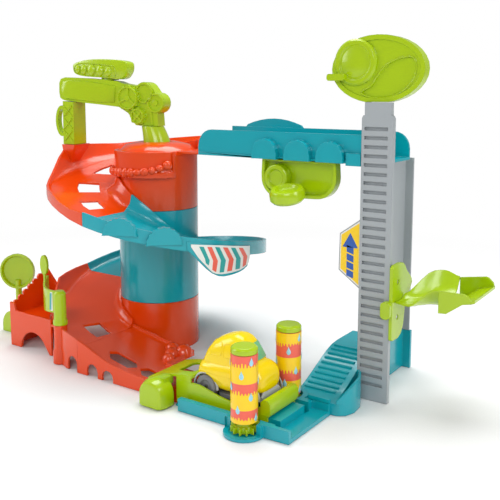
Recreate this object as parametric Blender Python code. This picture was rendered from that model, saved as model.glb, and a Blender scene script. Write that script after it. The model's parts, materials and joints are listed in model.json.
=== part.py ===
"""Toddler's toy garage: spiral tower, bridge, lift and car wash with a push frame.

Metres, +Z up. The origin is on the floor at the spiral tower's axis. +X runs along the
bridge and the car wash lane, +Y runs away from the front of the toy.
"""
import math

import bmesh
import bpy
from mathutils import Matrix, Vector

for old in list(bpy.data.objects):
    bpy.data.objects.remove(old, do_unlink=True)

# Driving dimensions: clearances and walls
GAP = 0.0003
WALL = 0.0026
FLOOR_T = 0.0030

# Driving dimensions: spiral tower
TOWER_R = 0.050
BASE_SECTION_H = 0.062
MID_SECTION_H = 0.115
TOP_SECTION_H = 0.073
DOME_H = 0.009
PANEL_DROP = 0.032
LOBES = 12

# Driving dimensions: helical roadway
DECK_R = 0.138
DECK_TOP = 0.250
HELIX_START = 40.0
MID_DECK_FROM = 273.0
LOW_DECK_FROM = 539.0
HELIX_END = 630.0
ROAD_FALL = ((0, 0.0), (45, 0.0), (110, 0.010), (170, 0.026), (244, 0.054), (273, 0.072),
             (322, 0.097), (379, 0.1205), (444, 0.1425), (500, 0.158), (539, 0.177),
             (585, 0.200), (630, 0.220))
CURB = 0.0090
INNER_CURB = 0.0100
BANK_MAX = 0.0225
GUARD_RISE = ((0, 0.004), (100, 0.009), (126, 0.004), (154, -0.002), (178, 0.000), (195, 0.0015),
              (203, -0.019), (208, -0.028), (215, -0.038), (222, -0.043), (245, -0.046),
              (256, -0.056), (265, -0.0615), (273, -0.0635))
LOWER_GUARD = ((539, 0.0095), (556, 0.0150), (571, 0.0195), (577, 0.0012), (608, 0.0012),
               (614, 0.0090), (622, 0.0100), (630, 0.0090))
APRON = ((324, 0.147), (329, 0.1345), (334, 0.122), (338, 0.1140), (342, 0.1110), (348, 0.1110),
         (353, 0.1122), (357, 0.1142), (360, 0.1175), (361.8, 0.1260), (362.4, 0.1330))
RUNOUT = 0.096
TONGUE_END = 0.148
LANE_Z = 0.013
STEP_DEG = 9.0

# Driving dimensions: bridge between the spiral and the lift
BRIDGE_FRONT_Y = -0.019
BRIDGE_BACK_Y = 0.053
BRIDGE_START = 0.080
BRIDGE_END = 0.316
BRIDGE_WALL_TOP = 0.2775
BRIDGE_ARCH_TOP = 0.290
HALF_TYRE_R = 0.0160
HALF_TYRES_X = (0.1775, 0.2193, 0.2590)

# Driving dimensions: lift
PLATE_X0 = 0.2955
PLATE_W = 0.0345
PLATE_T = 0.0055
PLATE_H = 0.298
RUNG_PITCH = 0.0092
RUNG_FIRST = 0.016
RUNGS = 30
WEB_T = 0.0026
COLUMN_BACK_Y = 0.088
COLUMN_FLANGE = 0.012
BOOT_H = 0.045
SIGN_HALF_W = 0.0505
SIGN_HALF_H = 0.034
SIGN_T = 0.012
NECK_H = 0.013

# Driving dimensions: lift carriage at the height where it rests
CARRIAGE_Z = 0.105
SCOOP_LENGTH = 0.044
TRAY_LENGTH = 0.0325
TRAY_W = 0.066

# Driving dimensions: car wash
WASH_X0 = 0.151
WASH_X1 = 0.293
WASH_FRONT_Y = -0.159
WASH_BACK_Y = -0.080
WASH_H = 0.013
LANE_Y = -0.122
ROLLER_X = 0.2455
ROLLER_OFFSET = 0.040
ROLLER_R = 0.0130
ROLLER_H = 0.0660
ROLLER_BOTTOM = 0.0140
CAP_H = 0.0065
GEAR_TEETH = 12
GEAR_MODULE = 0.002
GEAR_Z0 = 0.0030
GEAR_Z1 = 0.0092
SPINDLE_R = 0.0030
TOOTH_SHARE = 0.35
RAIL_T = 0.0022
RAIL_TOP = 0.0275
FRAME_X0 = 0.150
FRAME_X1 = 0.262

# Driving dimensions: toy car
CAR_LENGTH = 0.076
CAR_WIDTH = 0.0440
CAR_HEIGHT = 0.067
WHEEL_R = 0.0125
WHEEL_T = 0.0085
WHEELBASE = 0.050
CAR_X = 0.210

# Driving dimensions: crane arch
ARCH_DEG = 190.0
LEG_IN = 0.1195
LEG_OUT = 0.1370
LEG_DEPTH = 0.026
ARCH_T = 0.016
CRANE_POST_TOP = 0.028
LAMP_DEPTH = 0.018

# Driving dimensions: exit platform, gate and round sign
PLATFORM_GAP = 0.006
PLATFORM_X0 = -(DECK_R + PLATFORM_GAP)
PLATFORM_X1 = -0.058
PLATFORM_FRONT_Y = -0.124
PLATFORM_BACK_Y = -0.062
PLATFORM_Z = 0.040
GATE_ANGLE = 252.3
GATE_R = 0.0080
GATE_SEAT = 0.0470
GATE_POST_H = 0.041
GATE_LENGTH = 0.058
ROUND_SIGN_AT = (-0.1770, -0.0835)
ROUND_SIGN_Z = 0.0835

MATERIALS = {
    "orange": ((0.80, 0.075, 0.012), 0.22),
    "teal": ((0.0, 0.30, 0.34), 0.22),
    "green": ((0.36, 0.52, 0.012), 0.25),
    "dark_green": ((0.12, 0.36, 0.03), 0.25),
    "grey": ((0.40, 0.42, 0.43), 0.40),
    "yellow": ((0.92, 0.64, 0.0), 0.22),
    "coral": ((0.88, 0.17, 0.10), 0.35),
    "tyre_grey": ((0.16, 0.16, 0.17), 0.45),
    "white": ((0.82, 0.82, 0.80), 0.40),
    "steel": ((0.55, 0.55, 0.56), 0.30),
}


def material(kind):
    """A Principled material in one of the moulding colours."""
    found = bpy.data.materials.get(kind)
    if found:
        return found
    mat = bpy.data.materials.new(kind)
    mat.use_nodes = True
    shader = mat.node_tree.nodes["Principled BSDF"]
    colour, rough = MATERIALS[kind]
    shader.inputs["Base Color"].default_value = (*colour, 1.0)
    shader.inputs["Roughness"].default_value = rough
    shader.inputs["Metallic"].default_value = 1.0 if kind == "steel" else 0.0
    return mat


def finish(name, bm, kind, parent=None, smooth=35.0, cutter=False):
    """Turns a bmesh into a named object with outward faces; keeps world positions."""
    bmesh.ops.recalc_face_normals(bm, faces=bm.faces)
    mesh = bpy.data.meshes.new(name)
    bm.to_mesh(mesh)
    bm.free()
    obj = bpy.data.objects.new(name, mesh)
    bpy.context.collection.objects.link(obj)
    mesh.materials.append(material(kind))
    mesh.shade_smooth()
    mesh.set_sharp_from_angle(angle=math.radians(smooth))
    if cutter:
        obj.hide_render = True
        obj.display_type = "WIRE"
    if parent:
        origin = parent.location
        mesh.transform(Matrix.Translation(-origin))
        obj.parent = parent
    return obj


def pivot(name, at):
    """An empty on a joint's axis, to carry a moving piece."""
    empty = bpy.data.objects.new(name, None)
    empty.location = at
    bpy.context.collection.objects.link(empty)
    return empty


def boolean(obj, others, how="DIFFERENCE"):
    """Cuts or joins with exact Booleans, applied at once, and removes the helpers."""
    for other in others:
        mod = obj.modifiers.new("bool", "BOOLEAN")
        mod.operation = how
        mod.solver = "EXACT"
        mod.object = other
    dg = bpy.context.evaluated_depsgraph_get()
    made = bpy.data.meshes.new_from_object(obj.evaluated_get(dg))
    obj.modifiers.clear()
    old = obj.data
    obj.data = made
    bpy.data.meshes.remove(old)
    for other in others:
        bpy.data.objects.remove(other, do_unlink=True)
    obj.data.shade_smooth()
    obj.data.set_sharp_from_angle(angle=math.radians(35))
    return obj


def add_prism(bm, outline, axis, low, high):
    """Adds an outline extruded along x, y or z; the outline is in the other two axes."""
    place = {
        "x": lambda p, t: (t, p[0], p[1]),
        "y": lambda p, t: (p[0], t, p[1]),
        "z": lambda p, t: (p[0], p[1], t),
    }[axis]
    bottom = [bm.verts.new(place(p, low)) for p in outline]
    top = [bm.verts.new(place(p, high)) for p in outline]
    count = len(outline)
    bm.faces.new(bottom)
    bm.faces.new(list(reversed(top)))
    for i in range(count):
        j = (i + 1) % count
        bm.faces.new((bottom[i], top[i], top[j], bottom[j]))
    return bottom + top


def add_box(bm, low, high):
    """Adds an axis-aligned block."""
    outline = [(low[0], low[1]), (high[0], low[1]), (high[0], high[1]), (low[0], high[1])]
    return add_prism(bm, outline, "z", low[2], high[2])


def add_turned(bm, profile, centre, steps=32, axis="z"):
    """Adds a turned body; the profile is (radius, height) and starts and ends at radius 0."""
    rings = []
    for radius, height in profile:
        if radius < 1e-7:
            rings.append([(0.0, 0.0, height)])
            continue
        turn = [2 * math.pi * k / steps for k in range(steps)]
        rings.append([(radius * math.cos(t), radius * math.sin(t), height) for t in turn])
    swap = {
        "z": lambda p: (p[0], p[1], p[2]),
        "y": lambda p: (p[0], p[2], p[1]),
        "x": lambda p: (p[2], p[0], p[1]),
    }[axis]
    verts = [[bm.verts.new(Vector(centre) + Vector(swap(p))) for p in ring] for ring in rings]
    for lower, upper in zip(verts, verts[1:]):
        for k in range(steps):
            n = (k + 1) % steps
            face = [lower[k % len(lower)], lower[n % len(lower)],
                    upper[n % len(upper)], upper[k % len(upper)]]
            unique = list(dict.fromkeys(face))
            if len(unique) > 2:
                bm.faces.new(unique)
    return [v for ring in verts for v in ring]


def add_ring(bm, outer, inner, low, high, centre, steps=32, axis="z"):
    """Adds a plain ring or tube."""
    swap = {
        "z": lambda p: (p[0], p[1], p[2]),
        "y": lambda p: (p[0], p[2], p[1]),
        "x": lambda p: (p[2], p[0], p[1]),
    }[axis]
    loops = []
    for radius, height in ((outer, low), (outer, high), (inner, high), (inner, low)):
        turn = [2 * math.pi * k / steps for k in range(steps)]
        loops.append([
            bm.verts.new(Vector(centre) + Vector(
                swap((radius * math.cos(t), radius * math.sin(t), height))))
            for t in turn
        ])
    for a, b in zip(loops, loops[1:] + loops[:1]):
        for k in range(steps):
            n = (k + 1) % steps
            bm.faces.new((a[k], a[n], b[n], b[k]))


def arc(centre, radius, start, end, steps):
    """Points on an arc, angles in degrees."""
    points = []
    for k in range(steps + 1):
        t = math.radians(start + (end - start) * k / steps)
        points.append((centre[0] + radius * math.cos(t), centre[1] + radius * math.sin(t)))
    return points


def rounded(x0, z0, x1, z1, radius, steps=4):
    """A rectangle outline with round corners."""
    return (
        arc((x1 - radius, z1 - radius), radius, 0, 90, steps)
        + arc((x0 + radius, z1 - radius), radius, 90, 180, steps)
        + arc((x0 + radius, z0 + radius), radius, 180, 270, steps)
        + arc((x1 - radius, z0 + radius), radius, 270, 360, steps)
    )


def smooth_step(value, low, high):
    """0 below low, 1 above high, eased between."""
    t = min(1.0, max(0.0, (value - low) / (high - low)))
    return t * t * (3 - 2 * t)


# Tower sections: three turned shells that stack on each other
SECTION_Z = [0.0, BASE_SECTION_H, BASE_SECTION_H + MID_SECTION_H,
             BASE_SECTION_H + MID_SECTION_H + TOP_SECTION_H]


def tower_section(name, low, high, kind):
    """One open tube of the tower, with the next one's spigot inside its top."""
    bm = bmesh.new()
    add_ring(bm, TOWER_R, TOWER_R - WALL, low, high - GAP, (0, 0, 0), 32)
    shell = finish(name, bm, kind)
    if low > 0.0:
        return shell
    reach = TOWER_R - WALL * 0.5
    ribs = []
    for wide, deep in ((reach, 0.002), (0.002, reach)):
        rib = bmesh.new()
        add_box(rib, (-wide, -deep, 0.0), (wide, deep, 0.009))
        ribs.append(finish("rib", rib, kind, cutter=True))
    return boolean(shell, ribs, "UNION")


def tower_top():
    """Closed orange head: wall, domed shoulder, socket for the crane post."""
    bm = bmesh.new()
    low, high = SECTION_Z[2], SECTION_Z[3]
    inner = TOWER_R - WALL
    profile = [
        (inner, low), (TOWER_R, low), (TOWER_R, high - 0.007), (TOWER_R - 0.002, high - 0.002),
        (TOWER_R - 0.009, high + 0.005),
        (0.024, high + DOME_H), (0.0, high + DOME_H), (0.0, high + DOME_H - FLOOR_T),
        (inner - 0.006, high - 0.002), (inner, high - 0.010), (inner, low),
    ]
    steps = 32
    rings = []
    for radius, height in profile[:-1]:
        if radius == 0.0:
            rings.append([bm.verts.new((0, 0, height))])
        else:
            turn = [2 * math.pi * k / steps for k in range(steps)]
            rings.append([bm.verts.new((radius * math.cos(t), radius * math.sin(t), height))
                          for t in turn])
    rings.append(rings[0])
    for lower, upper in zip(rings, rings[1:]):
        for k in range(steps):
            n = (k + 1) % steps
            face = [lower[k % len(lower)], lower[n % len(lower)],
                    upper[n % len(upper)], upper[k % len(upper)]]
            unique = list(dict.fromkeys(face))
            if len(unique) > 2:
                bm.faces.new(unique)
    top = finish("tower_top_shell", bm, "orange")
    cut = bmesh.new()
    reach = CRANE_POST_R + GAP
    add_prism(cut, [(reach * math.cos(a), reach * math.sin(a)) for a in
                    [2 * math.pi * k / 24 for k in range(24)]], "z", high - 0.02, high + 0.03)
    return boolean(top, [finish("cut_socket", cut, "orange", cutter=True)])


CRANE_POST_R = 0.0185


def scallop_band():
    """Curved front panel with a scalloped ledge, clipped round the tower's head."""
    bm = bmesh.new()
    inner = TOWER_R + GAP
    low = SECTION_Z[3] - PANEL_DROP
    high = SECTION_Z[3] - 0.001
    start, end, steps = 205.0, 335.0, 26
    sections = []
    for k in range(steps + 1):
        a = math.radians(start + (end - start) * k / steps)
        share = k / steps
        swell = 0.0035 * math.sin(math.pi * share) ** 0.5 if 0 < share < 1 else 0.0
        lobe = 0.0022 * abs(math.sin(math.pi * share * LOBES))
        c, s = math.cos(a), math.sin(a)
        outline = [
            (inner, low), (inner + 0.003 + swell + lobe, low),
            (inner + 0.003 + swell + lobe, low + 0.006),
            (inner + 0.0015 + swell, low + 0.0085), (inner + 0.0015 + swell, high), (inner, high),
        ]
        sections.append([bm.verts.new((r * c, r * s, z)) for r, z in outline])
    join_sections(bm, sections)
    return finish("scalloped_front_panel", bm, "orange", smooth=50)


def join_sections(bm, sections):
    """Skins a row of equal outlines into one closed body."""
    count = len(sections[0])
    for a, b in zip(sections, sections[1:]):
        for k in range(count):
            n = (k + 1) % count
            bm.faces.new((a[k], a[n], b[n], b[k]))
    bm.faces.new(list(reversed(sections[0])))
    bm.faces.new(sections[-1])


MID_TYRE_R = 0.0205
LEG_FOOT = 0.0020


# Roadway: a channel swept round the tower, then straight out to the car wash
def road_height(angle, run=0.0):
    """Height of the road surface at an angle on the spiral, or along the run-out."""
    if run > 0.0:
        start = DECK_TOP - ROAD_FALL[-1][1]
        left = 1.0 - min(run, TONGUE_END) / TONGUE_END
        return LANE_Z + (start - LANE_Z) * left * left
    return DECK_TOP - eased(ROAD_FALL, angle)


def between(table, value):
    """Straight-line reading of a table of (place, number) pairs."""
    for (a, low), (b, high) in zip(table, table[1:]):
        if a <= value <= b:
            return low + (high - low) * (value - a) / (b - a)
    return table[-1][1] if value > table[0][0] else table[0][1]


def eased(table, value):
    """Smooth reading of a table: a cubic through the pairs with shared tangents."""
    last = len(table) - 1
    value = min(max(value, table[0][0]), table[last][0])
    k = 0
    while k < last - 1 and value > table[k + 1][0]:
        k += 1

    def slope(i):
        low, high = max(i - 1, 0), min(i + 1, last)
        return (table[high][1] - table[low][1]) / (table[high][0] - table[low][0])

    span = table[k + 1][0] - table[k][0]
    t = (value - table[k][0]) / span
    return (table[k][1] * (2 * t ** 3 - 3 * t ** 2 + 1) + slope(k) * span * (t ** 3 - 2 * t ** 2 + t)
            + table[k + 1][1] * (3 * t ** 2 - 2 * t ** 3) + slope(k + 1) * span * (t ** 3 - t ** 2))


def wall_top(angle, run=0.0):
    """Top of the outer wall: a tall guard round the back and a low curb elsewhere."""
    floor = road_height(angle, run)
    if angle < MID_DECK_FROM:
        return max(floor + 0.004, DECK_TOP + between(GUARD_RISE, angle))
    if angle < LOW_DECK_FROM:
        return floor + CURB
    return floor + between(LOWER_GUARD, angle) * (1.0 - 0.88 * smooth_step(run, -0.002, 0.055))


def outer_radius(angle):
    """The roadway swings a little wider where it leaves the spiral."""
    return DECK_R + 0.0066 * smooth_step(angle, 598, HELIX_END)


def road_section(bm, angle, run, skirt, inner_edge, inner_curb):
    """One cross-section of the channel as new vertices: the floor banks up to both edges."""
    a = math.radians(angle)
    away = Vector((math.cos(a), math.sin(a), 0.0))
    origin = Vector((run, 0.0, 0.0))
    z = road_height(angle, run)
    outer = outer_radius(angle)
    top = wall_top(angle, run)
    under = z - FLOOR_T
    foot = min(under - 0.0005, (1 - skirt) * (under - 0.004))
    rise = top - z
    bank = min(0.0008 + 0.8 * rise, BANK_MAX)
    lip = outer - WALL
    near = inner_edge + WALL
    outline = [
        (outer, foot), (outer, top), (lip, top), (lip - 0.25 * bank, z + 0.42 * rise),
        (lip - 0.60 * bank, z + 0.12 * rise), (lip - bank, z),
        (near + 0.0008 + 0.7 * inner_curb, z), (near + 0.18 * inner_curb, z + 0.45 * inner_curb),
        (near, z + inner_curb), (inner_edge, z + inner_curb), (inner_edge, under),
        (lip - bank, under), (lip - 0.60 * bank + 0.0012, z + 0.12 * rise - 0.0028),
        (lip - 0.25 * bank + 0.0008, z + 0.42 * rise - 0.0028), (lip, z + 0.42 * rise - 0.0026),
        (lip, foot),
    ]
    return [bm.verts.new(origin + away * r + Vector((0, 0, h))) for r, h in outline]


def spiral_sections(bm, start, end, skirt_from=1e9):
    """Cross-sections along a stretch of the spiral."""
    steps = max(2, round((end - start) / STEP_DEG))
    sections = []
    for k in range(steps + 1):
        angle = start + (end - start) * k / steps
        tall = 0.009 * smooth_step(angle, 215, 245) * (1 - smooth_step(angle, 280, 335))
        skirt = smooth_step(angle, skirt_from, skirt_from + 12)
        low = 0.006 * smooth_step(angle, 300, 345) * (1 - smooth_step(angle, 520, 545))
        low += 0.005 * smooth_step(angle, 180, 198) * (1 - smooth_step(angle, 216, 238))
        sections.append(road_section(bm, angle, 0.0, skirt, TOWER_R + GAP, INNER_CURB + tall - low))
    return sections


def road_hole(start, end, inner, outer, skew):
    """Outline of a hole in the road: radial sides, slanted ends, cut corners."""
    corners = []
    for share, radius in ((0.0, inner), (0.5, inner - 0.0004), (1.0, inner), (1.0, outer),
                          (0.5, outer + 0.0006), (0.0, outer)):
        lean = skew if radius > (inner + outer) / 2 else 0.0
        t = math.radians(start + lean + (end - start) * share)
        corners.append((radius * math.cos(t), radius * math.sin(t)))
    return corners


def hole_cutters(spots):
    """Tall prisms for the road's holes; each is start, end, inner and outer radius, and lean."""
    bm = bmesh.new()
    for start, end, inner, outer, skew in spots:
        z = road_height((start + end) / 2)
        add_prism(bm, road_hole(start, end, inner, outer, skew), "z", z - 0.016, z + 0.016)
    return finish("cut_holes", bm, "orange", cutter=True)


def upper_deck():
    """Orange deck from the bridge round the back and left of the tower."""
    bm = bmesh.new()
    join_sections(bm, spiral_sections(bm, HELIX_START, MID_DECK_FROM - 0.15))
    deck = finish("upper_deck", bm, "orange")
    pad = bmesh.new()
    a = math.radians(HELIX_START + 1.5)
    inner, outer = TOWER_R + GAP, DECK_R - 0.0004
    back = BRIDGE_BACK_Y
    tower_side = [((TOWER_R + GAP) * math.cos(t), (TOWER_R + GAP) * math.sin(t))
                  for t in [a + (-0.38 - a) * k / 8 for k in range(9)]]
    outline = tower_side + [
        (BRIDGE_START - GAP, BRIDGE_FRONT_Y), (BRIDGE_START - GAP, back + GAP),
        (outer * math.cos(a) * 0.93, outer * math.sin(a) * 0.86),
        (outer * math.cos(a), outer * math.sin(a)),
    ]
    add_prism(pad, outline, "z", DECK_TOP - FLOOR_T + 0.0002, DECK_TOP - 0.0004)
    landing = finish("landing", pad, "orange", cutter=True)
    boss = bmesh.new()
    out, square = arch_frame()
    rings = []
    for share, z in ((0.0, DECK_TOP - 0.033), (0.45, DECK_TOP - 0.016), (0.8, DECK_TOP - 0.006),
                     (1.0, DECK_TOP + LEG_FOOT)):
        near = DECK_R - 0.0060 - (DECK_R - 0.0060 - LEG_IN + 0.0045) * share
        half = 0.006 + (LEG_DEPTH / 2 + 0.0035 - 0.006) * share
        rings.append([boss.verts.new(out * d + square * s + Vector((0, 0, z)))
                      for d, s in ((DECK_R - 0.0010, -half), (DECK_R - 0.0010, half),
                                   (near + 0.002, half), (near, half - 0.002),
                                   (near, 0.002 - half), (near + 0.002, -half))])
    join_sections(boss, rings)
    boolean(deck, [landing, finish("boss", boss, "orange", cutter=True)], "UNION")
    spots = [(174, 197, 0.0660, 0.0950, -1.0), (219, 239, 0.0745, 0.1000, -2.0),
             (252.6, 264.4, 0.0860, 0.1080, -1.5)]
    boolean(deck, [hole_cutters(spots)])
    return deck


def half_tyre(bm, centre, out, radius, thick, drop=0.0, teeth=10):
    """A half disc with a toothed rim and a dished face, standing on a roadway's wall."""
    along = Vector((-out.y, out.x, 0.0))
    loops = []
    for share, off in ((1.0, 0.0), (1.0, thick), (0.86, thick), (0.76, thick - 0.0012)):
        spots = [(radius * share, -drop)] if drop else []
        for k in range(teeth * 2 + 1):
            t = math.pi * k / (teeth * 2)
            r = radius * share * ((0.95 if k % 2 else 1.0) if share == 1.0 else 1.0)
            spots.append((r * math.cos(t), r * math.sin(t)))
        spots += [(-radius * share, -drop)] if drop else []
        loops.append([bm.verts.new(Vector(centre) + along * u + out * off + Vector((0, 0, v)))
                      for u, v in spots])
    count = len(loops[0])
    for a, b in zip(loops, loops[1:]):
        for k in range(count - 1):
            bm.faces.new((a[k], a[k + 1], b[k + 1], b[k]))
    bm.faces.new(loops[-1])
    bm.faces.new(list(reversed(loops[0])))
    bm.faces.new([loop[0] for loop in loops] + [loop[-1] for loop in reversed(loops)])


def mid_deck():
    """Teal deck across the front, round the right and back, with its hanging apron."""
    bm = bmesh.new()
    join_sections(bm, spiral_sections(bm, MID_DECK_FROM, LOW_DECK_FROM - 0.15))
    deck = finish("middle_deck", bm, "teal")
    for angle in (293.3, 313.6):
        disc = bmesh.new()
        a = math.radians(angle)
        out = Vector((math.cos(a), math.sin(a), 0.0))
        centre = out * (DECK_R - 0.0032) + Vector((0, 0, road_height(angle) - 0.0034))
        half_tyre(disc, centre, out, MID_TYRE_R, 0.0062)
        boolean(deck, [finish("disc", disc, "teal", cutter=True)], "UNION")
    plate = bmesh.new()
    sections = []
    start, end = APRON[0][0], APRON[-1][0]
    for k in range(13):
        angle = start + (end - start) * k / 12
        a = math.radians(angle)
        low = between(APRON, angle)
        high = road_height(angle) + CURB * 0.45
        sections.append([plate.verts.new((r * math.cos(a), r * math.sin(a), z)) for r, z in
                         ((DECK_R + 0.0010, low), (DECK_R + 0.0010, high),
                          (DECK_R - 0.0018, high), (DECK_R - 0.0018, low))])
    join_sections(plate, sections)
    boolean(deck, [finish("apron", plate, "teal", cutter=True)], "UNION")
    return deck


def lower_deck():
    """Orange deck round the left to the front, with its skirt and the gate's socket."""
    bm = bmesh.new()
    join_sections(bm, spiral_sections(bm, LOW_DECK_FROM, HELIX_END, 598.0))
    deck = finish("lower_deck", bm, "orange")
    tube = bmesh.new()
    add_turned(tube, [(0, 0.0004), (GATE_R + 0.0018, 0.0004), (GATE_R + 0.0018, 0.0150),
                      (GATE_R, 0.0185), (GATE_R, GATE_SEAT - GAP), (0, GATE_SEAT - GAP)],
               (*GATE_AT, 0.0), 20)
    turn = Matrix.Rotation(math.radians(7), 3, "Z")
    bmesh.ops.rotate(tube, cent=(*GATE_AT, 0.0), matrix=turn, verts=tube.verts)
    boolean(deck, [finish("socket", tube, "orange", cutter=True)], "UNION")
    bore = bmesh.new()
    add_turned(bore, [(0, -0.01), (GATE_PIN_R + GAP, -0.01), (GATE_PIN_R + GAP, 0.09), (0, 0.09)],
               (*GATE_AT, 0.0), 20)
    bmesh.ops.rotate(bore, cent=(*GATE_AT, 0.0), matrix=turn @ turn, verts=bore.verts)
    boolean(deck, [finish("cut_bore", bore, "orange", cutter=True)])
    boolean(deck, [hole_cutters([(610.6, 628.0, 0.0865, 0.1080, -1.0)])])
    arch = bmesh.new()
    add_arch(arch, -0.0100, 0.0175)
    boolean(deck, [finish("cut_arch", arch, "orange", cutter=True)])
    return deck


def add_arch(bm, x, top):
    """A round-topped doorway through the road's front skirt."""
    outline = [(x - 0.0085, -0.01)] + arc((x, top - 0.0085), 0.0085, 180, 0, 8)
    add_prism(bm, outline + [(x + 0.0085, -0.01)], "y", -0.158, -0.128)


def run_out_road():
    """Orange road straight out from the spiral to the car wash, ending in a narrow tongue."""
    bm = bmesh.new()
    sections = [road_section(bm, HELIX_END, run, 1.0, TOWER_R + GAP, 0.004)
                for run in (GAP, 0.010, 0.020, 0.030, 0.042, 0.054, 0.068, 0.082, RUNOUT)]
    neck = -LANE_Y - RAIL_IN + 0.0006
    for run in (RUNOUT + 0.0005, 0.112, 0.130, TONGUE_END):
        sections.append(road_section(bm, HELIX_END, run, 1.0, neck, 0.004))
    join_sections(bm, sections)
    deck = finish("run_out_road", bm, "orange")
    more = bmesh.new()
    for x, y, half in ((0.052, -0.1240, 0.0), (0.104, -0.1290, 0.003)):
        slab = [(x - 0.024, y + 0.003), (x - 0.018, y + 0.0105), (x + 0.012, y + 0.0085),
                (x + 0.024, y - 0.002 - half), (x + 0.017, y - 0.0105 + half), (x - 0.012, y - 0.0080)]
        add_prism(more, slab, "z", 0.008, 0.040)
    boolean(deck, [finish("cut_run_holes", more, "orange", cutter=True)])
    arches = bmesh.new()
    for x, top in ((0.0235, 0.0150), (0.0475, 0.0125)):
        add_arch(arches, x, top)
    boolean(deck, [finish("cut_arches", arches, "orange", cutter=True)])
    for x, y, r in ((0.088, -0.060, 0.011), (0.081, -0.074, 0.009), (0.087, -0.086, 0.008),
                    (0.072, -0.062, 0.009)):
        z = road_height(HELIX_END, x)
        profile = [(0.0, z - 0.002), (r, z - 0.002), (r * 0.90, z + 0.5 * r), (r * 0.50, z + 0.9 * r),
                   (0.0, z + r)]
        one = bmesh.new()
        add_turned(one, profile, (x, y, 0), 10)
        boolean(deck, [finish("foam", one, "orange", cutter=True)], "UNION")
    return deck


# Gate socket: on the lower deck's outer wall
GATE_AT = (DECK_R * math.cos(math.radians(GATE_ANGLE)), DECK_R * math.sin(math.radians(GATE_ANGLE)))
GATE_PIN_R = 0.0049


# Bridge: a straight channel with a raised back arch and toothed half tyres
def bridge():
    """Teal channel from the upper deck to the lift."""
    bm = bmesh.new()
    back_in = BRIDGE_BACK_Y - WALL
    front_in = BRIDGE_FRONT_Y + WALL
    outline = [
        (BRIDGE_FRONT_Y, DECK_TOP - 0.002), (BRIDGE_FRONT_Y, BRIDGE_WALL_TOP),
        (front_in, BRIDGE_WALL_TOP), (front_in, DECK_TOP + 0.001),
        (back_in, DECK_TOP + 0.001), (back_in, BRIDGE_WALL_TOP + 0.001),
        (BRIDGE_BACK_Y, BRIDGE_WALL_TOP + 0.001), (BRIDGE_BACK_Y, DECK_TOP - 0.002),
    ]
    add_prism(bm, outline, "x", BRIDGE_START, BRIDGE_END)
    span = finish("bridge", bm, "teal")
    arch = bmesh.new()
    swell = [(0.094, 0.27)] + [(x, BRIDGE_WALL_TOP - 0.001 + (BRIDGE_ARCH_TOP - BRIDGE_WALL_TOP)
                                * math.sin(math.pi * k / 10) ** 0.8)
                               for k, x in [(k, 0.094 + 0.0096 * k) for k in range(1, 10)]]
    swell += [(0.190, 0.27)]
    add_prism(arch, swell, "y", back_in + 0.0002, BRIDGE_BACK_Y - 0.0002)
    boolean(span, [finish("arch", arch, "teal", cutter=True)], "UNION")
    ends = bmesh.new()
    corner = [(BRIDGE_START - 0.01, BRIDGE_WALL_TOP + 0.01)]
    corner += [(BRIDGE_START - 0.01, DECK_TOP + 0.008), (BRIDGE_START, DECK_TOP + 0.008)]
    corner += arc((BRIDGE_START + 0.02, DECK_TOP + 0.008), 0.0196, 180, 90, 6)
    corner += [(BRIDGE_START + 0.02, BRIDGE_WALL_TOP + 0.01)]
    add_prism(ends, corner, "y", BRIDGE_FRONT_Y - 0.01, BRIDGE_FRONT_Y + 0.01)
    far = [(BRIDGE_END + 0.01, BRIDGE_WALL_TOP + 0.01), (BRIDGE_END - 0.018, BRIDGE_WALL_TOP + 0.01)]
    far += arc((BRIDGE_END - 0.018, BRIDGE_WALL_TOP - 0.017), 0.0178, 90, 0, 6)
    far += [(BRIDGE_END + 0.01, BRIDGE_WALL_TOP - 0.017)]
    add_prism(ends, far, "y", BRIDGE_BACK_Y - 0.01, BRIDGE_BACK_Y + 0.01)
    boolean(span, [finish("cut_ends", ends, "teal", cutter=True)])
    for x in HALF_TYRES_X:
        disc = bmesh.new()
        centre = Vector((x, BRIDGE_FRONT_Y + 0.0006, DECK_TOP + 0.0042))
        half_tyre(disc, centre, Vector((0, -1, 0)), HALF_TYRE_R, 0.0085, 0.0066)
        boolean(span, [finish("disc", disc, "teal", cutter=True)], "UNION")
    lip = bmesh.new()
    add_box(lip, (BRIDGE_START + 0.002, BRIDGE_FRONT_Y - 0.0025, DECK_TOP - 0.0025),
            (PLATE_X0 - 0.012, BRIDGE_FRONT_Y + 0.0008, DECK_TOP + 0.0005))
    bracket = bmesh.new()
    add_box(bracket, (PLATE_X0 - 0.0185, BRIDGE_FRONT_Y - 0.0045, DECK_TOP - 0.0045),
            (PLATE_X0 - 0.0015, BRIDGE_FRONT_Y + 0.0010, DECK_TOP + 0.0085))
    boolean(span, [finish("lip", lip, "teal", cutter=True),
                   finish("bracket", bracket, "teal", cutter=True)], "UNION")
    return span


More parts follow.
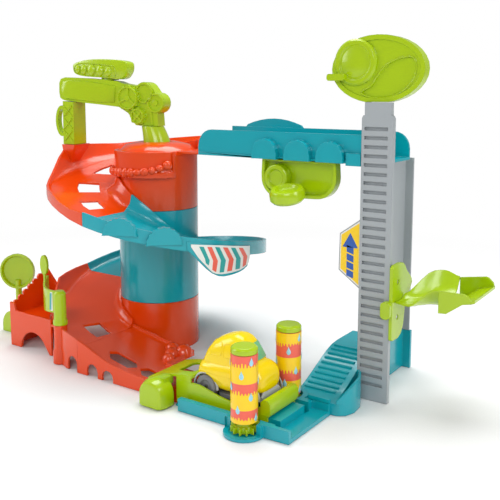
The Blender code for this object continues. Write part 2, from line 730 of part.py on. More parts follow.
def plaque():
    """Green D-shaped sign plate that hangs under the bridge, with two tyres."""
    top = DECK_TOP - 0.0024 - GAP
    x0, x1 = 0.1690, 0.2635
    y0, y1 = BRIDGE_FRONT_Y + 0.0013, BRIDGE_FRONT_Y + 0.0125
    low = 0.2065
    bm = bmesh.new()
    outline = [(x0 + 0.001, top), (x0, low + 0.024)] + arc((x0 + 0.022, low + 0.020), 0.022, 190, 262, 6)
    outline += arc((x1 - 0.024, low + 0.024), 0.024, 270, 360, 8) + [(x1 - 0.001, top)]
    add_prism(bm, outline, "y", y0, y1)
    plate = finish("bridge_plaque", bm, "green")
    cut = bmesh.new()
    inner = [(x0 + 0.0044, top - 0.0024), (x0 + 0.004, low + 0.024)]
    inner += arc((x0 + 0.022, low + 0.020), 0.018, 190, 262, 5)
    inner += arc((x1 - 0.024, low + 0.024), 0.020, 270, 360, 6) + [(x1 - 0.0044, top - 0.0024)]
    add_prism(cut, inner, "y", y0 - 0.01, y0 + 0.0065)
    boolean(plate, [finish("cut_recess", cut, "green", cutter=True)])
    face = y0 + 0.0065 - GAP
    tyre = bmesh.new()
    spot = (x0 + 0.0210, face, top - 0.0205)
    add_turned(tyre, [(0, 0), (0.0150, 0), (0.0158, -0.003), (0.0150, -0.0095), (0.0130, -0.0110),
                      (0.0105, -0.0110), (0.0085, -0.0080), (0, -0.0080)], spot, 24, "y")
    finish("plaque_tyre_upright", tyre, "green")
    flat = bmesh.new()
    verts = add_turned(flat, [(0, 0), (0.0165, 0), (0.0192, 0.003), (0.0192, 0.0105),
                              (0.0170, 0.0140), (0.0125, 0.0140), (0.0100, 0.0110), (0, 0.0110)],
                       (0, 0, 0), 24)
    lean = Matrix.Rotation(math.radians(14), 4, "X")
    bmesh.ops.transform(flat, matrix=Matrix.Translation((0.2180, y0 - 0.0225, 0.2060)) @ lean,
                        verts=verts)
    arm = bmesh.new()
    add_box(arm, (0.2140, y0 - 0.014, 0.2135), (0.2220, face, 0.2165))
    lying = finish("plaque_tyre_lying", flat, "green")
    boolean(lying, [finish("arm", arm, "green", cutter=True)], "UNION")
    return plate


# Lift: rack plate, C-shaped column, boot, sign and arrow panel
PLATE_Y1 = BRIDGE_FRONT_Y - GAP - 0.0003
PLATE_Y0 = PLATE_Y1 - PLATE_T


def lift_plate():
    """Grey front plate with the ratchet rungs and stepped shoulders."""
    bm = bmesh.new()
    x1 = PLATE_X0 + PLATE_W
    outline = [(PLATE_X0, 0.0), (x1, 0.0), (x1, PLATE_H - 0.003), (x1 - 0.0015, PLATE_H),
               (x1 - 0.0025, PLATE_H), (x1 - 0.0025, PLATE_H + NECK_H),
               (PLATE_X0 + 0.003, PLATE_H + NECK_H), (PLATE_X0 + 0.003, PLATE_H),
               (PLATE_X0 + 0.0015, PLATE_H), (PLATE_X0, PLATE_H - 0.003)]
    add_prism(bm, outline, "y", PLATE_Y0, PLATE_Y1)
    plate = finish("lift_rack_plate", bm, "grey")
    cuts = bmesh.new()
    for k in range(RUNGS):
        z = RUNG_FIRST + RUNG_PITCH * k
        slot = [(PLATE_Y0 - 0.001, z), (PLATE_Y0 - 0.001, z + 0.0030),
                (PLATE_Y0 + 0.0030, z + 0.0046), (PLATE_Y0 + 0.0030, z)]
        add_prism(cuts, slot, "x", PLATE_X0 + 0.0030, x1 - 0.0060)
    return boolean(plate, [finish("cut_rungs", cuts, "grey", cutter=True)])


DOOR_Y = (-0.012, 0.046)
DOOR_Z = (0.0445, 0.125)


def lift_column():
    """Grey C-section behind the rack plate, with the doorway from the ramp."""
    bm = bmesh.new()
    x0 = PLATE_X0
    top = DECK_TOP - 0.0025 - GAP
    y0 = PLATE_Y1 + GAP
    outline = [
        (x0, y0), (x0, COLUMN_BACK_Y), (x0 + COLUMN_FLANGE, COLUMN_BACK_Y),
        (x0 + COLUMN_FLANGE, COLUMN_BACK_Y - WEB_T), (x0 + WEB_T, COLUMN_BACK_Y - WEB_T),
        (x0 + WEB_T, y0),
    ]
    add_prism(bm, outline, "z", BOOT_H + GAP, top)
    column = finish("lift_column", bm, "grey")
    cut = bmesh.new()
    door = [(DOOR_Y[1], 0.0), (DOOR_Y[1], DOOR_Z[1] - 0.012)]
    door += arc((DOOR_Y[1] - 0.012, DOOR_Z[1] - 0.012), 0.012, 0, 90, 5)
    door += arc((DOOR_Y[0] + 0.012, DOOR_Z[1] - 0.012), 0.012, 90, 180, 5)
    door += [(DOOR_Y[0], 0.0)]
    add_prism(cut, door, "x", x0 - 0.01, x0 + 0.01)
    return boolean(column, [finish("cut_door", cut, "grey", cutter=True)])


def lift_boot():
    """Teal foot of the column."""
    bm = bmesh.new()
    x0 = PLATE_X0
    y0 = PLATE_Y1 + GAP
    back = COLUMN_BACK_Y + 0.002
    outline = [
        (x0, y0), (x0, back), (x0 + COLUMN_FLANGE + 0.002, back),
        (x0 + COLUMN_FLANGE + 0.002, back - 0.0045), (x0 + 0.0045, back - 0.0045),
        (x0 + 0.0045, y0),
    ]
    add_prism(bm, outline, "z", 0.0, BOOT_H)
    return finish("lift_column_boot", bm, "teal")


def lift_sign():
    """Oval green sign on the neck, with a raised disc, a ledge and a recessed field."""
    bm = bmesh.new()
    cx = PLATE_X0 + 0.0135
    cz = PLATE_H + NECK_H + SIGN_HALF_H - 0.0010
    y0 = PLATE_Y0 + 0.004
    y1 = y0 + SIGN_T
    oval = [(cx + SIGN_HALF_W * math.cos(t), cz + SIGN_HALF_H * math.sin(t))
            for t in [2 * math.pi * k / 32 for k in range(32)]]
    add_prism(bm, oval, "y", y0, y1)
    sign = finish("lift_sign", bm, "green")
    cut = bmesh.new()
    field = [(cx + (SIGN_HALF_W - 0.005) * math.cos(t), cz + (SIGN_HALF_H - 0.005) * math.sin(t))
             for t in [2 * math.pi * k / 32 for k in range(32)]]
    add_prism(cut, field, "y", y0 - 0.01, y0 + 0.003)
    slot = [(PLATE_X0 + 0.003 - GAP, 0.2), (PLATE_X0 + PLATE_W - 0.0025 + GAP, 0.2),
            (PLATE_X0 + PLATE_W - 0.0025 + GAP, PLATE_H + NECK_H + GAP),
            (PLATE_X0 + 0.003 - GAP, PLATE_H + NECK_H + GAP)]
    add_prism(cut, slot, "y", PLATE_Y0 - 0.02, PLATE_Y1 + 0.03)
    boolean(sign, [finish("cut_field", cut, "green", cutter=True)])
    disc = bmesh.new()
    add_turned(disc, [(0, 0.0), (0.0235, 0.0), (0.0235, -0.0055), (0.0215, -0.0075),
                      (0.0180, -0.0075), (0.0165, -0.006), (0, -0.006)],
               (cx - 0.0235, y0 + 0.003 + 0.0015, cz + 0.0070), 32, "y")
    boolean(sign, [finish("disc", disc, "green", cutter=True)], "UNION")
    ledge = bmesh.new()
    add_prism(ledge, rounded(cx - 0.0515, cz - 0.0115, cx - 0.032, cz - 0.0045, 0.0025), "y",
              y0 - 0.010, y0 + 0.004)
    boolean(sign, [finish("ledge", ledge, "green", cutter=True)], "UNION")
    return sign


def arrow_panel():
    """Six-sided sticker plate on the left edge of the lift."""
    bm = bmesh.new()
    x1 = PLATE_X0 - GAP
    outline = [(x1, 0.117), (x1, 0.191), (0.2715, 0.174), (0.2705, 0.1345)]
    add_prism(bm, outline, "y", PLATE_Y1 - 0.003, PLATE_Y1)
    return finish("arrow_panel", bm, "white")


# Lift carriage
CARRIAGE_X0 = PLATE_X0 + PLATE_W + 0.0012


def carriage():
    """Side plate, thumb tab, fanned lead-in and the tray, all on the vertical slide."""
    carrier = pivot("lift_slide", (CARRIAGE_X0, PLATE_Y0, CARRIAGE_Z))
    x0 = CARRIAGE_X0
    y0 = PLATE_Y0 - 0.003
    shape = ((0.0, -0.034), (0.002, -0.036), (0.016, -0.0365), (0.024, -0.0335), (0.0290, -0.027),
             (0.0315, -0.018), (0.0335, -0.006), (0.041, 0.004), (0.0515, 0.016), (0.0500, 0.0205),
             (0.0430, 0.0265), (0.0360, 0.0320), (0.0310, 0.0385), (0.0250, 0.0420),
             (0.0180, 0.0430), (0.004, 0.0425), (0.0, 0.0400))
    bm = bmesh.new()
    add_prism(bm, [(y0 + a, CARRIAGE_Z + b) for a, b in shape], "x", x0, x0 + 0.0035)
    plate = finish("carriage_plate", bm, "green", carrier)
    screws = (("lower", CARRIAGE_Z - 0.0135), ("upper", CARRIAGE_Z + 0.0235))
    for _, z in screws:
        hole = bmesh.new()
        centre = (x0, y0 + 0.014, z)
        add_turned(hole, [(0, -0.01), (0.0027, -0.01), (0.0027, 0.01), (0, 0.01)], centre, 16, "x")
        boolean(plate, [finish("cut_hole", hole, "green", carrier, cutter=True)])
    tab = bmesh.new()
    add_prism(tab, rounded(x0 - 0.0075, CARRIAGE_Z - 0.0125, x0 + 0.0030, CARRIAGE_Z + 0.0055,
                           0.0042), "y", PLATE_Y0 - 0.0080, PLATE_Y0 - 0.0008)
    boolean(plate, [finish("tab", tab, "green", carrier, cutter=True)], "UNION")
    fan = bmesh.new()
    sections = []
    count = 11
    start_x = x0 + 0.0035 + GAP
    for k in range(count + 1):
        share = k / count
        x = start_x + SCOOP_LENGTH * share
        half = 0.012 + (TRAY_W / 2 - 0.0005 - 0.012) * smooth_step(share, 0, 0.55)
        mid = y0 + 0.018 + (TRAY_MID_Y - y0 - 0.018) * smooth_step(share, 0, 0.8)
        z = CARRIAGE_Z + 0.0042 - 0.0010 * share
        front = 0.0015 + 0.0175 * smooth_step(share, 0.35, 0.9)
        back = 0.004 + 0.0215 * smooth_step(share, 0.0, 0.45) - 0.005 * smooth_step(share, 0.6, 1.0)
        ring = []
        for j in range(9):
            u = -1 + 2 * j / 8
            rise = (front if u < 0 else back) * abs(u) ** 2.6
            ring.append((mid + half * u, z + rise))
        under = [(y, h - 0.0026 - 0.002 * (1 - abs(-1 + 2 * j / 8)) * share)
                 for j, (y, h) in enumerate(ring)][::-1]
        sections.append([fan.verts.new((x, y, h)) for y, h in ring + under])
    join_sections(fan, sections)
    finish("carriage_scoop", fan, "green", carrier, smooth=50)
    tray(carrier, start_x + SCOOP_LENGTH + GAP)
    for word, z in screws:
        screw = bmesh.new()
        add_turned(screw, [(0, 0.0), (0.0024, 0.0), (0.0024, 0.0018), (0.0016, 0.0024), (0, 0.0024)],
                   (x0 + 0.0004, y0 + 0.014, z), 12, "x")
        finish("carriage_screw_" + word, screw, "steel", carrier)
    return carrier


TRAY_MID_Y = 0.014


def tray(carrier, x0):
    """Open tray at the carriage's outer end: floor, two walls and a raised lip."""
    x1 = x0 + TRAY_LENGTH
    y0 = TRAY_MID_Y - TRAY_W / 2
    y1 = TRAY_MID_Y + TRAY_W / 2
    floor = CARRIAGE_Z
    bm = bmesh.new()
    belly = [(x0, floor + 0.0034), (x0, floor - 0.0005), (x0 + 0.008, floor), (x0 + 0.024, floor + 0.0118),
             (x1, floor + 0.0135), (x1 + 0.0035, floor + 0.0150), (x1 + 0.0035, floor + 0.0180),
             (x1, floor + 0.0168), (x0 + 0.022, floor + 0.0145), (x0 + 0.007, floor + 0.0036)]
    add_prism(bm, belly, "y", y0, y1)
    pan = finish("carriage_tray", bm, "green", carrier)
    front = bmesh.new()
    side = [(x0, floor - 0.0005), (x0 + 0.008, floor), (x0 + 0.024, floor + 0.0118), (x1, floor + 0.0140),
            (x1 - 0.0010, floor + 0.0175), (x1 - 0.0035, floor + 0.0205), (x1 - 0.0075, floor + 0.0222),
            (x0, floor + 0.0218)]
    add_prism(front, side, "y", y0 - 0.0002, y0 + WALL)
    rear = bmesh.new()
    back_side = [(x0, floor - 0.0005), (x0 + 0.008, floor), (x0 + 0.024, floor + 0.0118),
                 (x1, floor + 0.0140), (x1 + 0.0030, floor + 0.0175), (x1 + 0.0020, floor + 0.0215),
                 (x1 - 0.0030, floor + 0.0262), (x1 - 0.0060, floor + 0.0268), (x0, floor + 0.0225)]
    add_prism(rear, back_side, "y", y1 - WALL, y1 + 0.0002)
    boolean(pan, [finish("front", front, "green", carrier, cutter=True),
                  finish("rear", rear, "green", carrier, cutter=True)], "UNION")
    return pan


# Car wash: base, ramp, rollers and the push frame with its racks
PITCH_R = GEAR_MODULE * GEAR_TEETH / 2
ROLLER_YS = {"front": LANE_Y - ROLLER_OFFSET, "rear": LANE_Y + ROLLER_OFFSET}
RACK_LINE = ROLLER_OFFSET - PITCH_R
RAIL_OUT = RACK_LINE - 0.0024
RAIL_IN = RAIL_OUT - RAIL_T
ROLLER_LOBE = 0.0205
RAMP_X0 = 0.2480
GRIP_X = 0.1330
GRIP_R = 0.0170
GRIP_Y = LANE_Y - RAIL_OUT - 0.0036
FRAME_BACK_TRAVEL = 0.015
FRAME_AHEAD_TRAVEL = 0.010


def wash_base():
    """Teal floor plate with the lane, groove for each rail, gear wells and exit tray."""
    bm = bmesh.new()
    notch = (GRIP_X + GRIP_R + FRAME_AHEAD_TRAVEL + 0.001, GRIP_Y + 0.001)
    outline = [(WASH_X0, notch[1]), notch, (notch[0], WASH_FRONT_Y), (0.220, WASH_FRONT_Y)]
    outline += arc((ROLLER_X, ROLLER_YS["front"]), ROLLER_LOBE, 175, 365, 12)
    outline += [(WASH_X1, WASH_FRONT_Y), (WASH_X1 + 0.001, WASH_BACK_Y)]
    outline += [(WASH_X1 - 0.018, WASH_BACK_Y)]
    outline += arc((ROLLER_X, ROLLER_YS["rear"]), ROLLER_LOBE, -6, 186, 12)
    outline += [(0.205, WASH_BACK_Y), (WASH_X0, WASH_BACK_Y - 0.006)]
    add_prism(bm, outline, "z", 0.0, WASH_H - GAP)
    base = finish("wash_base", bm, "teal")
    cuts = bmesh.new()
    groove_x = (WASH_X0 - 0.01, FRAME_X1 + FRAME_AHEAD_TRAVEL + 0.004)
    for side in (-1, 1):
        near = LANE_Y + side * (RAIL_IN - 0.0008)
        far = LANE_Y + side * (RACK_LINE + GEAR_MODULE + 0.0008)
        low, high = min(near, far), max(near, far)
        add_box(cuts, (groove_x[0], low, 0.0018), (groove_x[1], high, 0.03))
    boolean(base, [finish("cut_grooves", cuts, "teal", cutter=True)])
    for y in ROLLER_YS.values():
        well = bmesh.new()
        reach = PITCH_R + GEAR_MODULE + 0.001
        add_turned(well, [(0, 0.0018), (reach, 0.0018), (reach, 0.03), (0, 0.03)],
                   (ROLLER_X, y, 0), 32)
        boolean(base, [finish("cut_well", well, "teal", cutter=True)])
    pocket = bmesh.new()
    add_box(pocket, (FRAME_X1 + FRAME_AHEAD_TRAVEL + 0.003, WASH_FRONT_Y + 0.004, 0.0045),
            (WASH_X1 + 0.01, WASH_BACK_Y - 0.004, 0.03))
    boolean(base, [finish("cut_tray", pocket, "teal", cutter=True)])
    return base


def rear_lobe_guard():
    """Inner wall between the exit tray and the ramp."""
    bm = bmesh.new()
    add_box(bm, (0.2695, WASH_BACK_Y - 0.0038, WASH_H), (WASH_X1 + 0.001, WASH_BACK_Y, 0.017))
    return finish("tray_wall", bm, "teal")


def wash_ramp():
    """Teal ramp that climbs from behind the wash to the lift doorway, with tread ribs."""
    bm = bmesh.new()
    x0, x1 = RAMP_X0, PLATE_X0 - GAP - 0.0004
    y0, y1 = WASH_BACK_Y + GAP, 0.060
    rise = [(y0, 0.0), (y0, WASH_H - 0.003)]
    rise += [(y0 + (0.020 - y0) * t, WASH_H - 0.003 + (DOOR_Z[0] - 0.0165 + 0.003) * (t * t * (3 - 2 * t)))
             for t in [k / 8 for k in range(1, 9)]]
    rise += [(y1, rise[-1][1]), (y1, 0.0), (y1 - 0.003, 0.0)]
    rise += [(y1 - 0.003, rise[-3][1] - 0.004), (0.018, rise[-3][1] - 0.004), (-0.040, 0.010),
             (-0.060, 0.0)]
    add_prism(bm, rise, "x", x0, x1)
    ramp = finish("lift_ramp", bm, "teal")
    patch = bmesh.new()
    bend = [(x1 + 0.0050, y0), (x1 + 0.0130, y0 + 0.0055), (x1 + 0.0170, y0 + 0.0170),
            (x1 + 0.0155, y0 + 0.0330), (x1 + 0.0095, y0 + 0.0470), (x1 + 0.0040, PLATE_Y0 - 0.0012)]
    add_prism(patch, [(x1 - 0.004, y0)] + bend + [(x1 - 0.004, PLATE_Y0 - 0.0012)], "z", 0.0, 0.0120)
    border = bmesh.new()
    sections = []
    tops = (0.0145, 0.0240, 0.0305, 0.0320, 0.0320, 0.0315)
    for k, (x, y) in enumerate(bend):
        a = Vector(bend[max(k - 1, 0)])
        b = Vector(bend[min(k + 1, len(bend) - 1)])
        along = (b - a).normalized()
        side = Vector((along.y, -along.x)) * 0.0026
        flush = Vector((0.0, 0.0003 if k == 0 else 0.0))
        p = Vector((x, y)) + flush
        sections.append([border.verts.new((v.x, v.y, z)) for v, z in
                         ((p, 0.002), (p, tops[k]), (p - side, tops[k]), (p - side, 0.002))])
    join_sections(border, sections)
    boolean(ramp, [finish("patch", patch, "teal", cutter=True),
                   finish("border", border, "teal", cutter=True)], "UNION")
    for k in range(10):
        y = -0.060 + 0.0072 * k
        t = (y - y0) / (0.020 - y0)
        z = WASH_H - 0.003 + (DOOR_Z[0] - 0.0135) * (t * t * (3 - 2 * t))
        rib = bmesh.new()
        add_box(rib, (x0 + 0.004, y, z - 0.004), (x1 - 0.007, y + 0.0030, z + 0.0020))
        boolean(ramp, [finish("rib", rib, "teal", cutter=True)], "UNION")
    well = bmesh.new()
    reach = ROLLER_LOBE + GAP
    add_turned(well, [(0, -0.01), (reach, -0.01), (reach, 0.06), (0, 0.06)],
               (ROLLER_X, ROLLER_YS["rear"], 0.0), 40)
    return boolean(ramp, [finish("cut_lobe", well, "teal", cutter=True)])


def gear_outline(phase):
    """Toothed outline of the roller gear; straight flanks, with backlash."""
    pitch = math.pi * GEAR_MODULE
    half = TOOTH_SHARE * pitch / 2
    points = []
    for k in range(GEAR_TEETH):
        mid = phase + 2 * math.pi * k / GEAR_TEETH
        for radius, width, side in ((PITCH_R - 1.25 * GEAR_MODULE, half * 1.0, -1),
                                    (PITCH_R, half, -1),
                                    (PITCH_R + 0.8 * GEAR_MODULE, half * 0.45, -1),
                                    (PITCH_R + 0.8 * GEAR_MODULE, half * 0.45, 1),
                                    (PITCH_R, half, 1),
                                    (PITCH_R - 1.25 * GEAR_MODULE, half * 1.0, 1)):
            turn = mid + side * width / radius
            points.append((radius * math.cos(turn), radius * math.sin(turn)))
    return points


def roller(which):
    """One wash roller: spindle pin on the base, gear, drum and cap on one spinning body."""
    y = ROLLER_YS[which]
    centre = Vector((ROLLER_X, y, 0.0))
    axle = pivot("roller_axis_" + which, centre)
    pin = bmesh.new()
    add_turned(pin, [(0, 0.0018 + GAP), (0.0045, 0.0018 + GAP), (0.0045, GEAR_Z0 - GAP),
                     (SPINDLE_R, GEAR_Z0 - GAP), (SPINDLE_R, 0.030), (SPINDLE_R - 0.001, 0.031),
                     (0, 0.031)], centre, 12)
    finish("roller_spindle_" + which, pin, "steel")
    toward = math.pi / 2 if which == "front" else -math.pi / 2
    phase = toward + math.pi / GEAR_TEETH
    bm = bmesh.new()
    ring = [(centre.x + a, centre.y + b) for a, b in gear_outline(phase)]
    add_prism(bm, ring, "z", GEAR_Z0, GEAR_Z1)
    gear = finish("roller_gear_" + which, bm, "green", axle)
    hub = bmesh.new()
    add_turned(hub, [(0, GEAR_Z1 - 0.001), (0.0075, GEAR_Z1 - 0.001),
                     (0.0075, ROLLER_BOTTOM - GAP), (0, ROLLER_BOTTOM - GAP)], centre, 24)
    boolean(gear, [finish("hub", hub, "green", axle, cutter=True)], "UNION")
    bore = bmesh.new()
    add_turned(bore, [(0, -0.01), (SPINDLE_R + GAP, -0.01), (SPINDLE_R + GAP, 0.05), (0, 0.05)],
               centre, 16)
    boolean(gear, [finish("bore", bore, "green", axle, cutter=True)])
    drum = bmesh.new()
    top = ROLLER_BOTTOM + ROLLER_H
    add_ring(drum, ROLLER_R, SPINDLE_R + GAP, ROLLER_BOTTOM, 0.034, centre, 24)
    shell = finish("roller_drum_" + which, drum, "coral", axle)
    upper = bmesh.new()
    add_turned(upper, [(0, 0.0335), (ROLLER_R, 0.0335), (ROLLER_R, top), (0, top)], centre, 24)
    boolean(shell, [finish("upper", upper, "coral", axle, cutter=True)], "UNION")
    cap = bmesh.new()
    cap_top = top + GAP + CAP_H
    add_turned(cap, [(0, top + GAP), (ROLLER_R, top + GAP), (ROLLER_R, cap_top - 0.002),
                     (ROLLER_R - 0.002, cap_top), (0, cap_top)], centre, 24)
    finish("roller_cap_" + which, cap, "green", axle)


def rack_outline(side):
    """Rack bar with straight teeth; tooth centres keep step with the roller's gear."""
    pitch = math.pi * GEAR_MODULE
    half = TOOTH_SHARE * pitch / 2
    root = RAIL_OUT
    tip = RACK_LINE + 0.8 * GEAR_MODULE
    first = math.ceil((FRAME_X0 + 0.004 - ROLLER_X) / pitch)
    last = math.floor((FRAME_X1 - 0.004 - ROLLER_X) / pitch)
    points = [(FRAME_X0, RAIL_IN), (FRAME_X0, root)]
    for k in range(first, last + 1):
        x = ROLLER_X + k * pitch
        points += [(x - half * 1.5, root), (x - half * 0.45, tip),
                   (x + half * 0.45, tip), (x + half * 1.5, root)]
    points += [(FRAME_X1, root), (FRAME_X1, RAIL_IN)]
    return [(x, LANE_Y + side * y) for x, y in points]


def push_frame():
    """Green frame that slides along the lane, with a rack under each rail for the gears."""
    slide = pivot("frame_slide", (FRAME_X0, LANE_Y, 0.0))
    for side, word in ((-1, "front"), (1, "rear")):
        bar = bmesh.new()
        add_prism(bar, rack_outline(side), "z", GEAR_Z0 + 0.0004, GEAR_Z1 - GAP)
        finish("rack_" + word, bar, "green", slide)
    bm = bmesh.new()
    rail = [(FRAME_X0, GEAR_Z1), (FRAME_X1, GEAR_Z1), (FRAME_X1, 0.024),
            (FRAME_X1 - 0.030, 0.0175), (0.205, 0.0215), (0.180, RAIL_TOP), (FRAME_X0, RAIL_TOP)]
    low, high = LANE_Y - RAIL_OUT, LANE_Y - RAIL_IN
    add_prism(bm, rail, "y", low, high)
    frame = finish("push_frame", bm, "green", slide)
    joined = []

    def add(build, label):
        piece = bmesh.new()
        build(piece)
        joined.append(finish(label, piece, "green", slide, cutter=True))

    add(lambda b: add_prism(b, rail, "y", LANE_Y + RAIL_IN, LANE_Y + RAIL_OUT), "rail_rear")
    hood_top = [(0.120, 0.0262), (0.128, 0.0285), (0.137, 0.0306), (0.147, 0.0325),
                (0.158, 0.0340), (0.170, 0.0348)]
    hood_low = [(x + 0.0006, z - 0.0026) for x, z in reversed(hood_top)]
    hood = hood_top + hood_low
    add(lambda b: add_prism(b, hood, "y", LANE_Y - RAIL_OUT + 0.0001, LANE_Y + RAIL_OUT - 0.0001),
        "hood")
    cheek = [(FRAME_X0, 0.0200), (0.169, 0.0200), (0.169, 0.0342), (0.158, 0.0336),
             (FRAME_X0, 0.0326)]
    for y in (LANE_Y - RAIL_OUT + 0.0001, LANE_Y + RAIL_IN + 0.0001):
        add(lambda b, v=y: add_prism(b, cheek, "y", v, v + RAIL_T - 0.0002), "cheek")
    rings = []
    grip_bm = bmesh.new()
    for y, share in ((GRIP_Y - 0.0205, 0.62), (GRIP_Y - 0.0185, 0.85), (GRIP_Y - 0.0140, 0.97),
                     (GRIP_Y - 0.0060, 1.0), (GRIP_Y, 0.97)):
        reach = GRIP_R * share
        rings.append([grip_bm.verts.new((x, y, z)) for x, z in
                      [(GRIP_X - reach, 0.0012)] + arc((GRIP_X, 0.0130), reach, 180, 0, 10)
                      + [(GRIP_X + reach, 0.0012)]])
    join_sections(grip_bm, rings)
    joined.append(finish("grip", grip_bm, "green", slide, cutter=True))
    reach = [(GRIP_X - 0.0110, 0.0215), (GRIP_X + 0.0110, 0.0215), (GRIP_X + 0.0110, 0.0300),
             (GRIP_X - 0.0110, 0.0276)]
    add(lambda b: add_prism(b, reach, "y", GRIP_Y - 0.008, LANE_Y - RAIL_IN), "grip_arm")
    bumper = [(FRAME_X1 - 0.0075, 0.0150), (FRAME_X1 + 0.002, 0.0150), (FRAME_X1 + 0.004, 0.0195),
              (FRAME_X1 + 0.0035, 0.0270), (FRAME_X1 + 0.0005, 0.0308), (FRAME_X1 - 0.0045, 0.0308),
              (FRAME_X1 - 0.0075, 0.0280)]
    half = RAIL_OUT + 0.0004
    add(lambda b: add_prism(b, bumper, "y", LANE_Y - half, LANE_Y + half), "bumper")
    boolean(frame, joined, "UNION")
    slot = bmesh.new()
    add_prism(slot, rounded(0.1430, LANE_Y - 0.014, 0.1635, LANE_Y + 0.014, 0.004), "z", 0.02, 0.06)
    hollow = bmesh.new()
    inner = [(GRIP_X - GRIP_R + 0.0028, -0.001)] + arc((GRIP_X, 0.0125), GRIP_R - 0.0028, 180, 0, 8)
    inner += [(GRIP_X + GRIP_R - 0.0028, -0.001)]
    add_prism(hollow, inner, "y", GRIP_Y - 0.0145, GRIP_Y + 0.008)
    boolean(frame, [finish("slot", slot, "green", slide, cutter=True),
                    finish("hollow", hollow, "green", slide, cutter=True)])
    return slide


# Toy car on the push frame's lane
def car():
    """Rounded car body, glazing insert, underbody, axles and wheels."""
    floor = WASH_H
    spot = Vector((CAR_X, LANE_Y, floor))
    lift = pivot("car_lift", spot)
    x0 = CAR_X - CAR_LENGTH / 2
    half = CAR_WIDTH / 2
    profile = [(0.000, 0.016), (0.001, 0.028), (0.007, 0.036), (0.014, 0.040), (0.018, 0.052),
               (0.026, 0.064), (0.040, 0.067), (0.052, 0.0645), (0.059, 0.054),
               (0.063, 0.040), (0.072, 0.037), (0.078, 0.031), (0.080, 0.022), (0.0795, 0.013),
               (0.060, 0.0095), (0.020, 0.0095)]
    bm = bmesh.new()
    ways = [(-1.0, 0.82, 0.0045), (-0.86, 0.95, 0.0015), (-0.55, 1.0, 0.0),
            (0.55, 1.0, 0.0), (0.86, 0.95, 0.0015), (1.0, 0.82, 0.0045)]
    sections = []
    mid_x, mid_z = CAR_LENGTH / 2, 0.030
    for y, share, _ in ways:
        ring = []
        for px, pz in profile:
            px = px * CAR_LENGTH / 0.080
            pz = pz * CAR_HEIGHT / 0.067
            tuck = 1.0 if pz < 0.040 else 0.86
            ring.append(bm.verts.new((x0 + mid_x + (px - mid_x) * share,
                                      LANE_Y + y * half * tuck,
                                      floor + mid_z + (pz - mid_z) * share)))
        sections.append(ring)
    join_sections(bm, sections)
    body = finish("car_body", bm, "yellow", lift, smooth=50)
    arches = []
    axle_z = floor + WHEEL_R + GAP
    wheel_xs = (CAR_X - WHEELBASE / 2, CAR_X + WHEELBASE / 2)
    for x in wheel_xs:
        cut = bmesh.new()
        add_turned(cut, [(0, -0.04), (WHEEL_R + 0.0015, -0.04), (WHEEL_R + 0.0015, 0.04), (0, 0.04)],
                   (x, LANE_Y, axle_z), 20, "y")
        arches.append(finish("cut_wheel", cut, "yellow", lift, cutter=True))
    boolean(body, arches)
    chassis = bmesh.new()
    low = floor + 0.0045
    inner = half - WHEEL_T - 0.0012
    add_box(chassis, (wheel_xs[0] + WHEEL_R + 0.0022, LANE_Y - half + 0.004, low),
            (wheel_xs[1] - WHEEL_R - 0.0022, LANE_Y + half - 0.004, floor + 0.0095 - GAP))
    pan = finish("car_chassis", chassis, "tyre_grey", lift)
    beam = bmesh.new()
    add_box(beam, (wheel_xs[0] - 0.006, LANE_Y - inner, low + 0.0004),
            (wheel_xs[1] + 0.006, LANE_Y + inner, floor + 0.0092 - GAP))
    boolean(pan, [finish("beam", beam, "tyre_grey", lift, cutter=True)], "UNION")
    bearings = bmesh.new()
    for x in wheel_xs:
        for y in (LANE_Y - 0.0045, LANE_Y + 0.0045):
            add_box(bearings, (x - 0.004, y - 0.001, low + 0.002), (x + 0.004, y + 0.001, axle_z + 0.0035))
    boolean(pan, [finish("bearings", bearings, "tyre_grey", lift, cutter=True)], "UNION")
    bores = bmesh.new()
    for x in wheel_xs:
        add_turned(bores, [(0, -0.04), (0.0019, -0.04), (0.0019, 0.04), (0, 0.04)],
                   (x, LANE_Y, axle_z), 12, "y")
    boolean(pan, [finish("bores", bores, "tyre_grey", lift, cutter=True)])
    bumper = bmesh.new()
    front = x0 + CAR_LENGTH
    add_prism(bumper, rounded(LANE_Y - half + 0.004, floor + 0.0105, LANE_Y + half - 0.004,
                              floor + 0.0185, 0.003), "x", front + GAP, front + 0.0028)
    finish("car_bumper", bumper, "tyre_grey", lift)
    for label, x in zip(("rear", "front"), wheel_xs):
        hinge = pivot("axle_axis_" + label, (x, LANE_Y, axle_z))
        rod = bmesh.new()
        add_turned(rod, [(0, -half + 0.0012), (0.0015, -half + 0.0012), (0.0015, half - 0.0012),
                         (0, half - 0.0012)], (x, LANE_Y, axle_z), 10, "y")
        finish("car_axle_" + label, rod, "steel", hinge)
        for side, word in ((-1, "left"), (1, "right")):
            wheel = bmesh.new()
            face = side * half
            back = side * (half - WHEEL_T)
            profile = [(0.0018, back), (WHEEL_R, back), (WHEEL_R, face - side * 0.0015),
                       (WHEEL_R - 0.0015, face), (0.0075, face), (0.0060, face - side * 0.0018),
                       (0.0018, face - side * 0.0018)]
            loops = []
            for r, v in profile:
                loops.append([wheel.verts.new((x + r * math.cos(t), LANE_Y + v, axle_z + r * math.sin(t)))
                              for t in [2 * math.pi * k / 18 for k in range(18)]])
            for a, b in zip(loops, loops[1:] + loops[:1]):
                for k in range(18):
                    n = (k + 1) % 18
                    wheel.faces.new((a[k], a[n], b[n], b[k]))
            finish("car_wheel_" + label + "_" + word, wheel, "tyre_grey", hinge)
    return lift


# Crane arch over the spiral
def arch_frame():
    """Unit vectors of the arch's plane: outwards to the leg and square to it."""
    a = math.radians(ARCH_DEG)
    out = Vector((math.cos(a), math.sin(a), 0.0))
    return out, Vector((-out.y, out.x, 0.0))


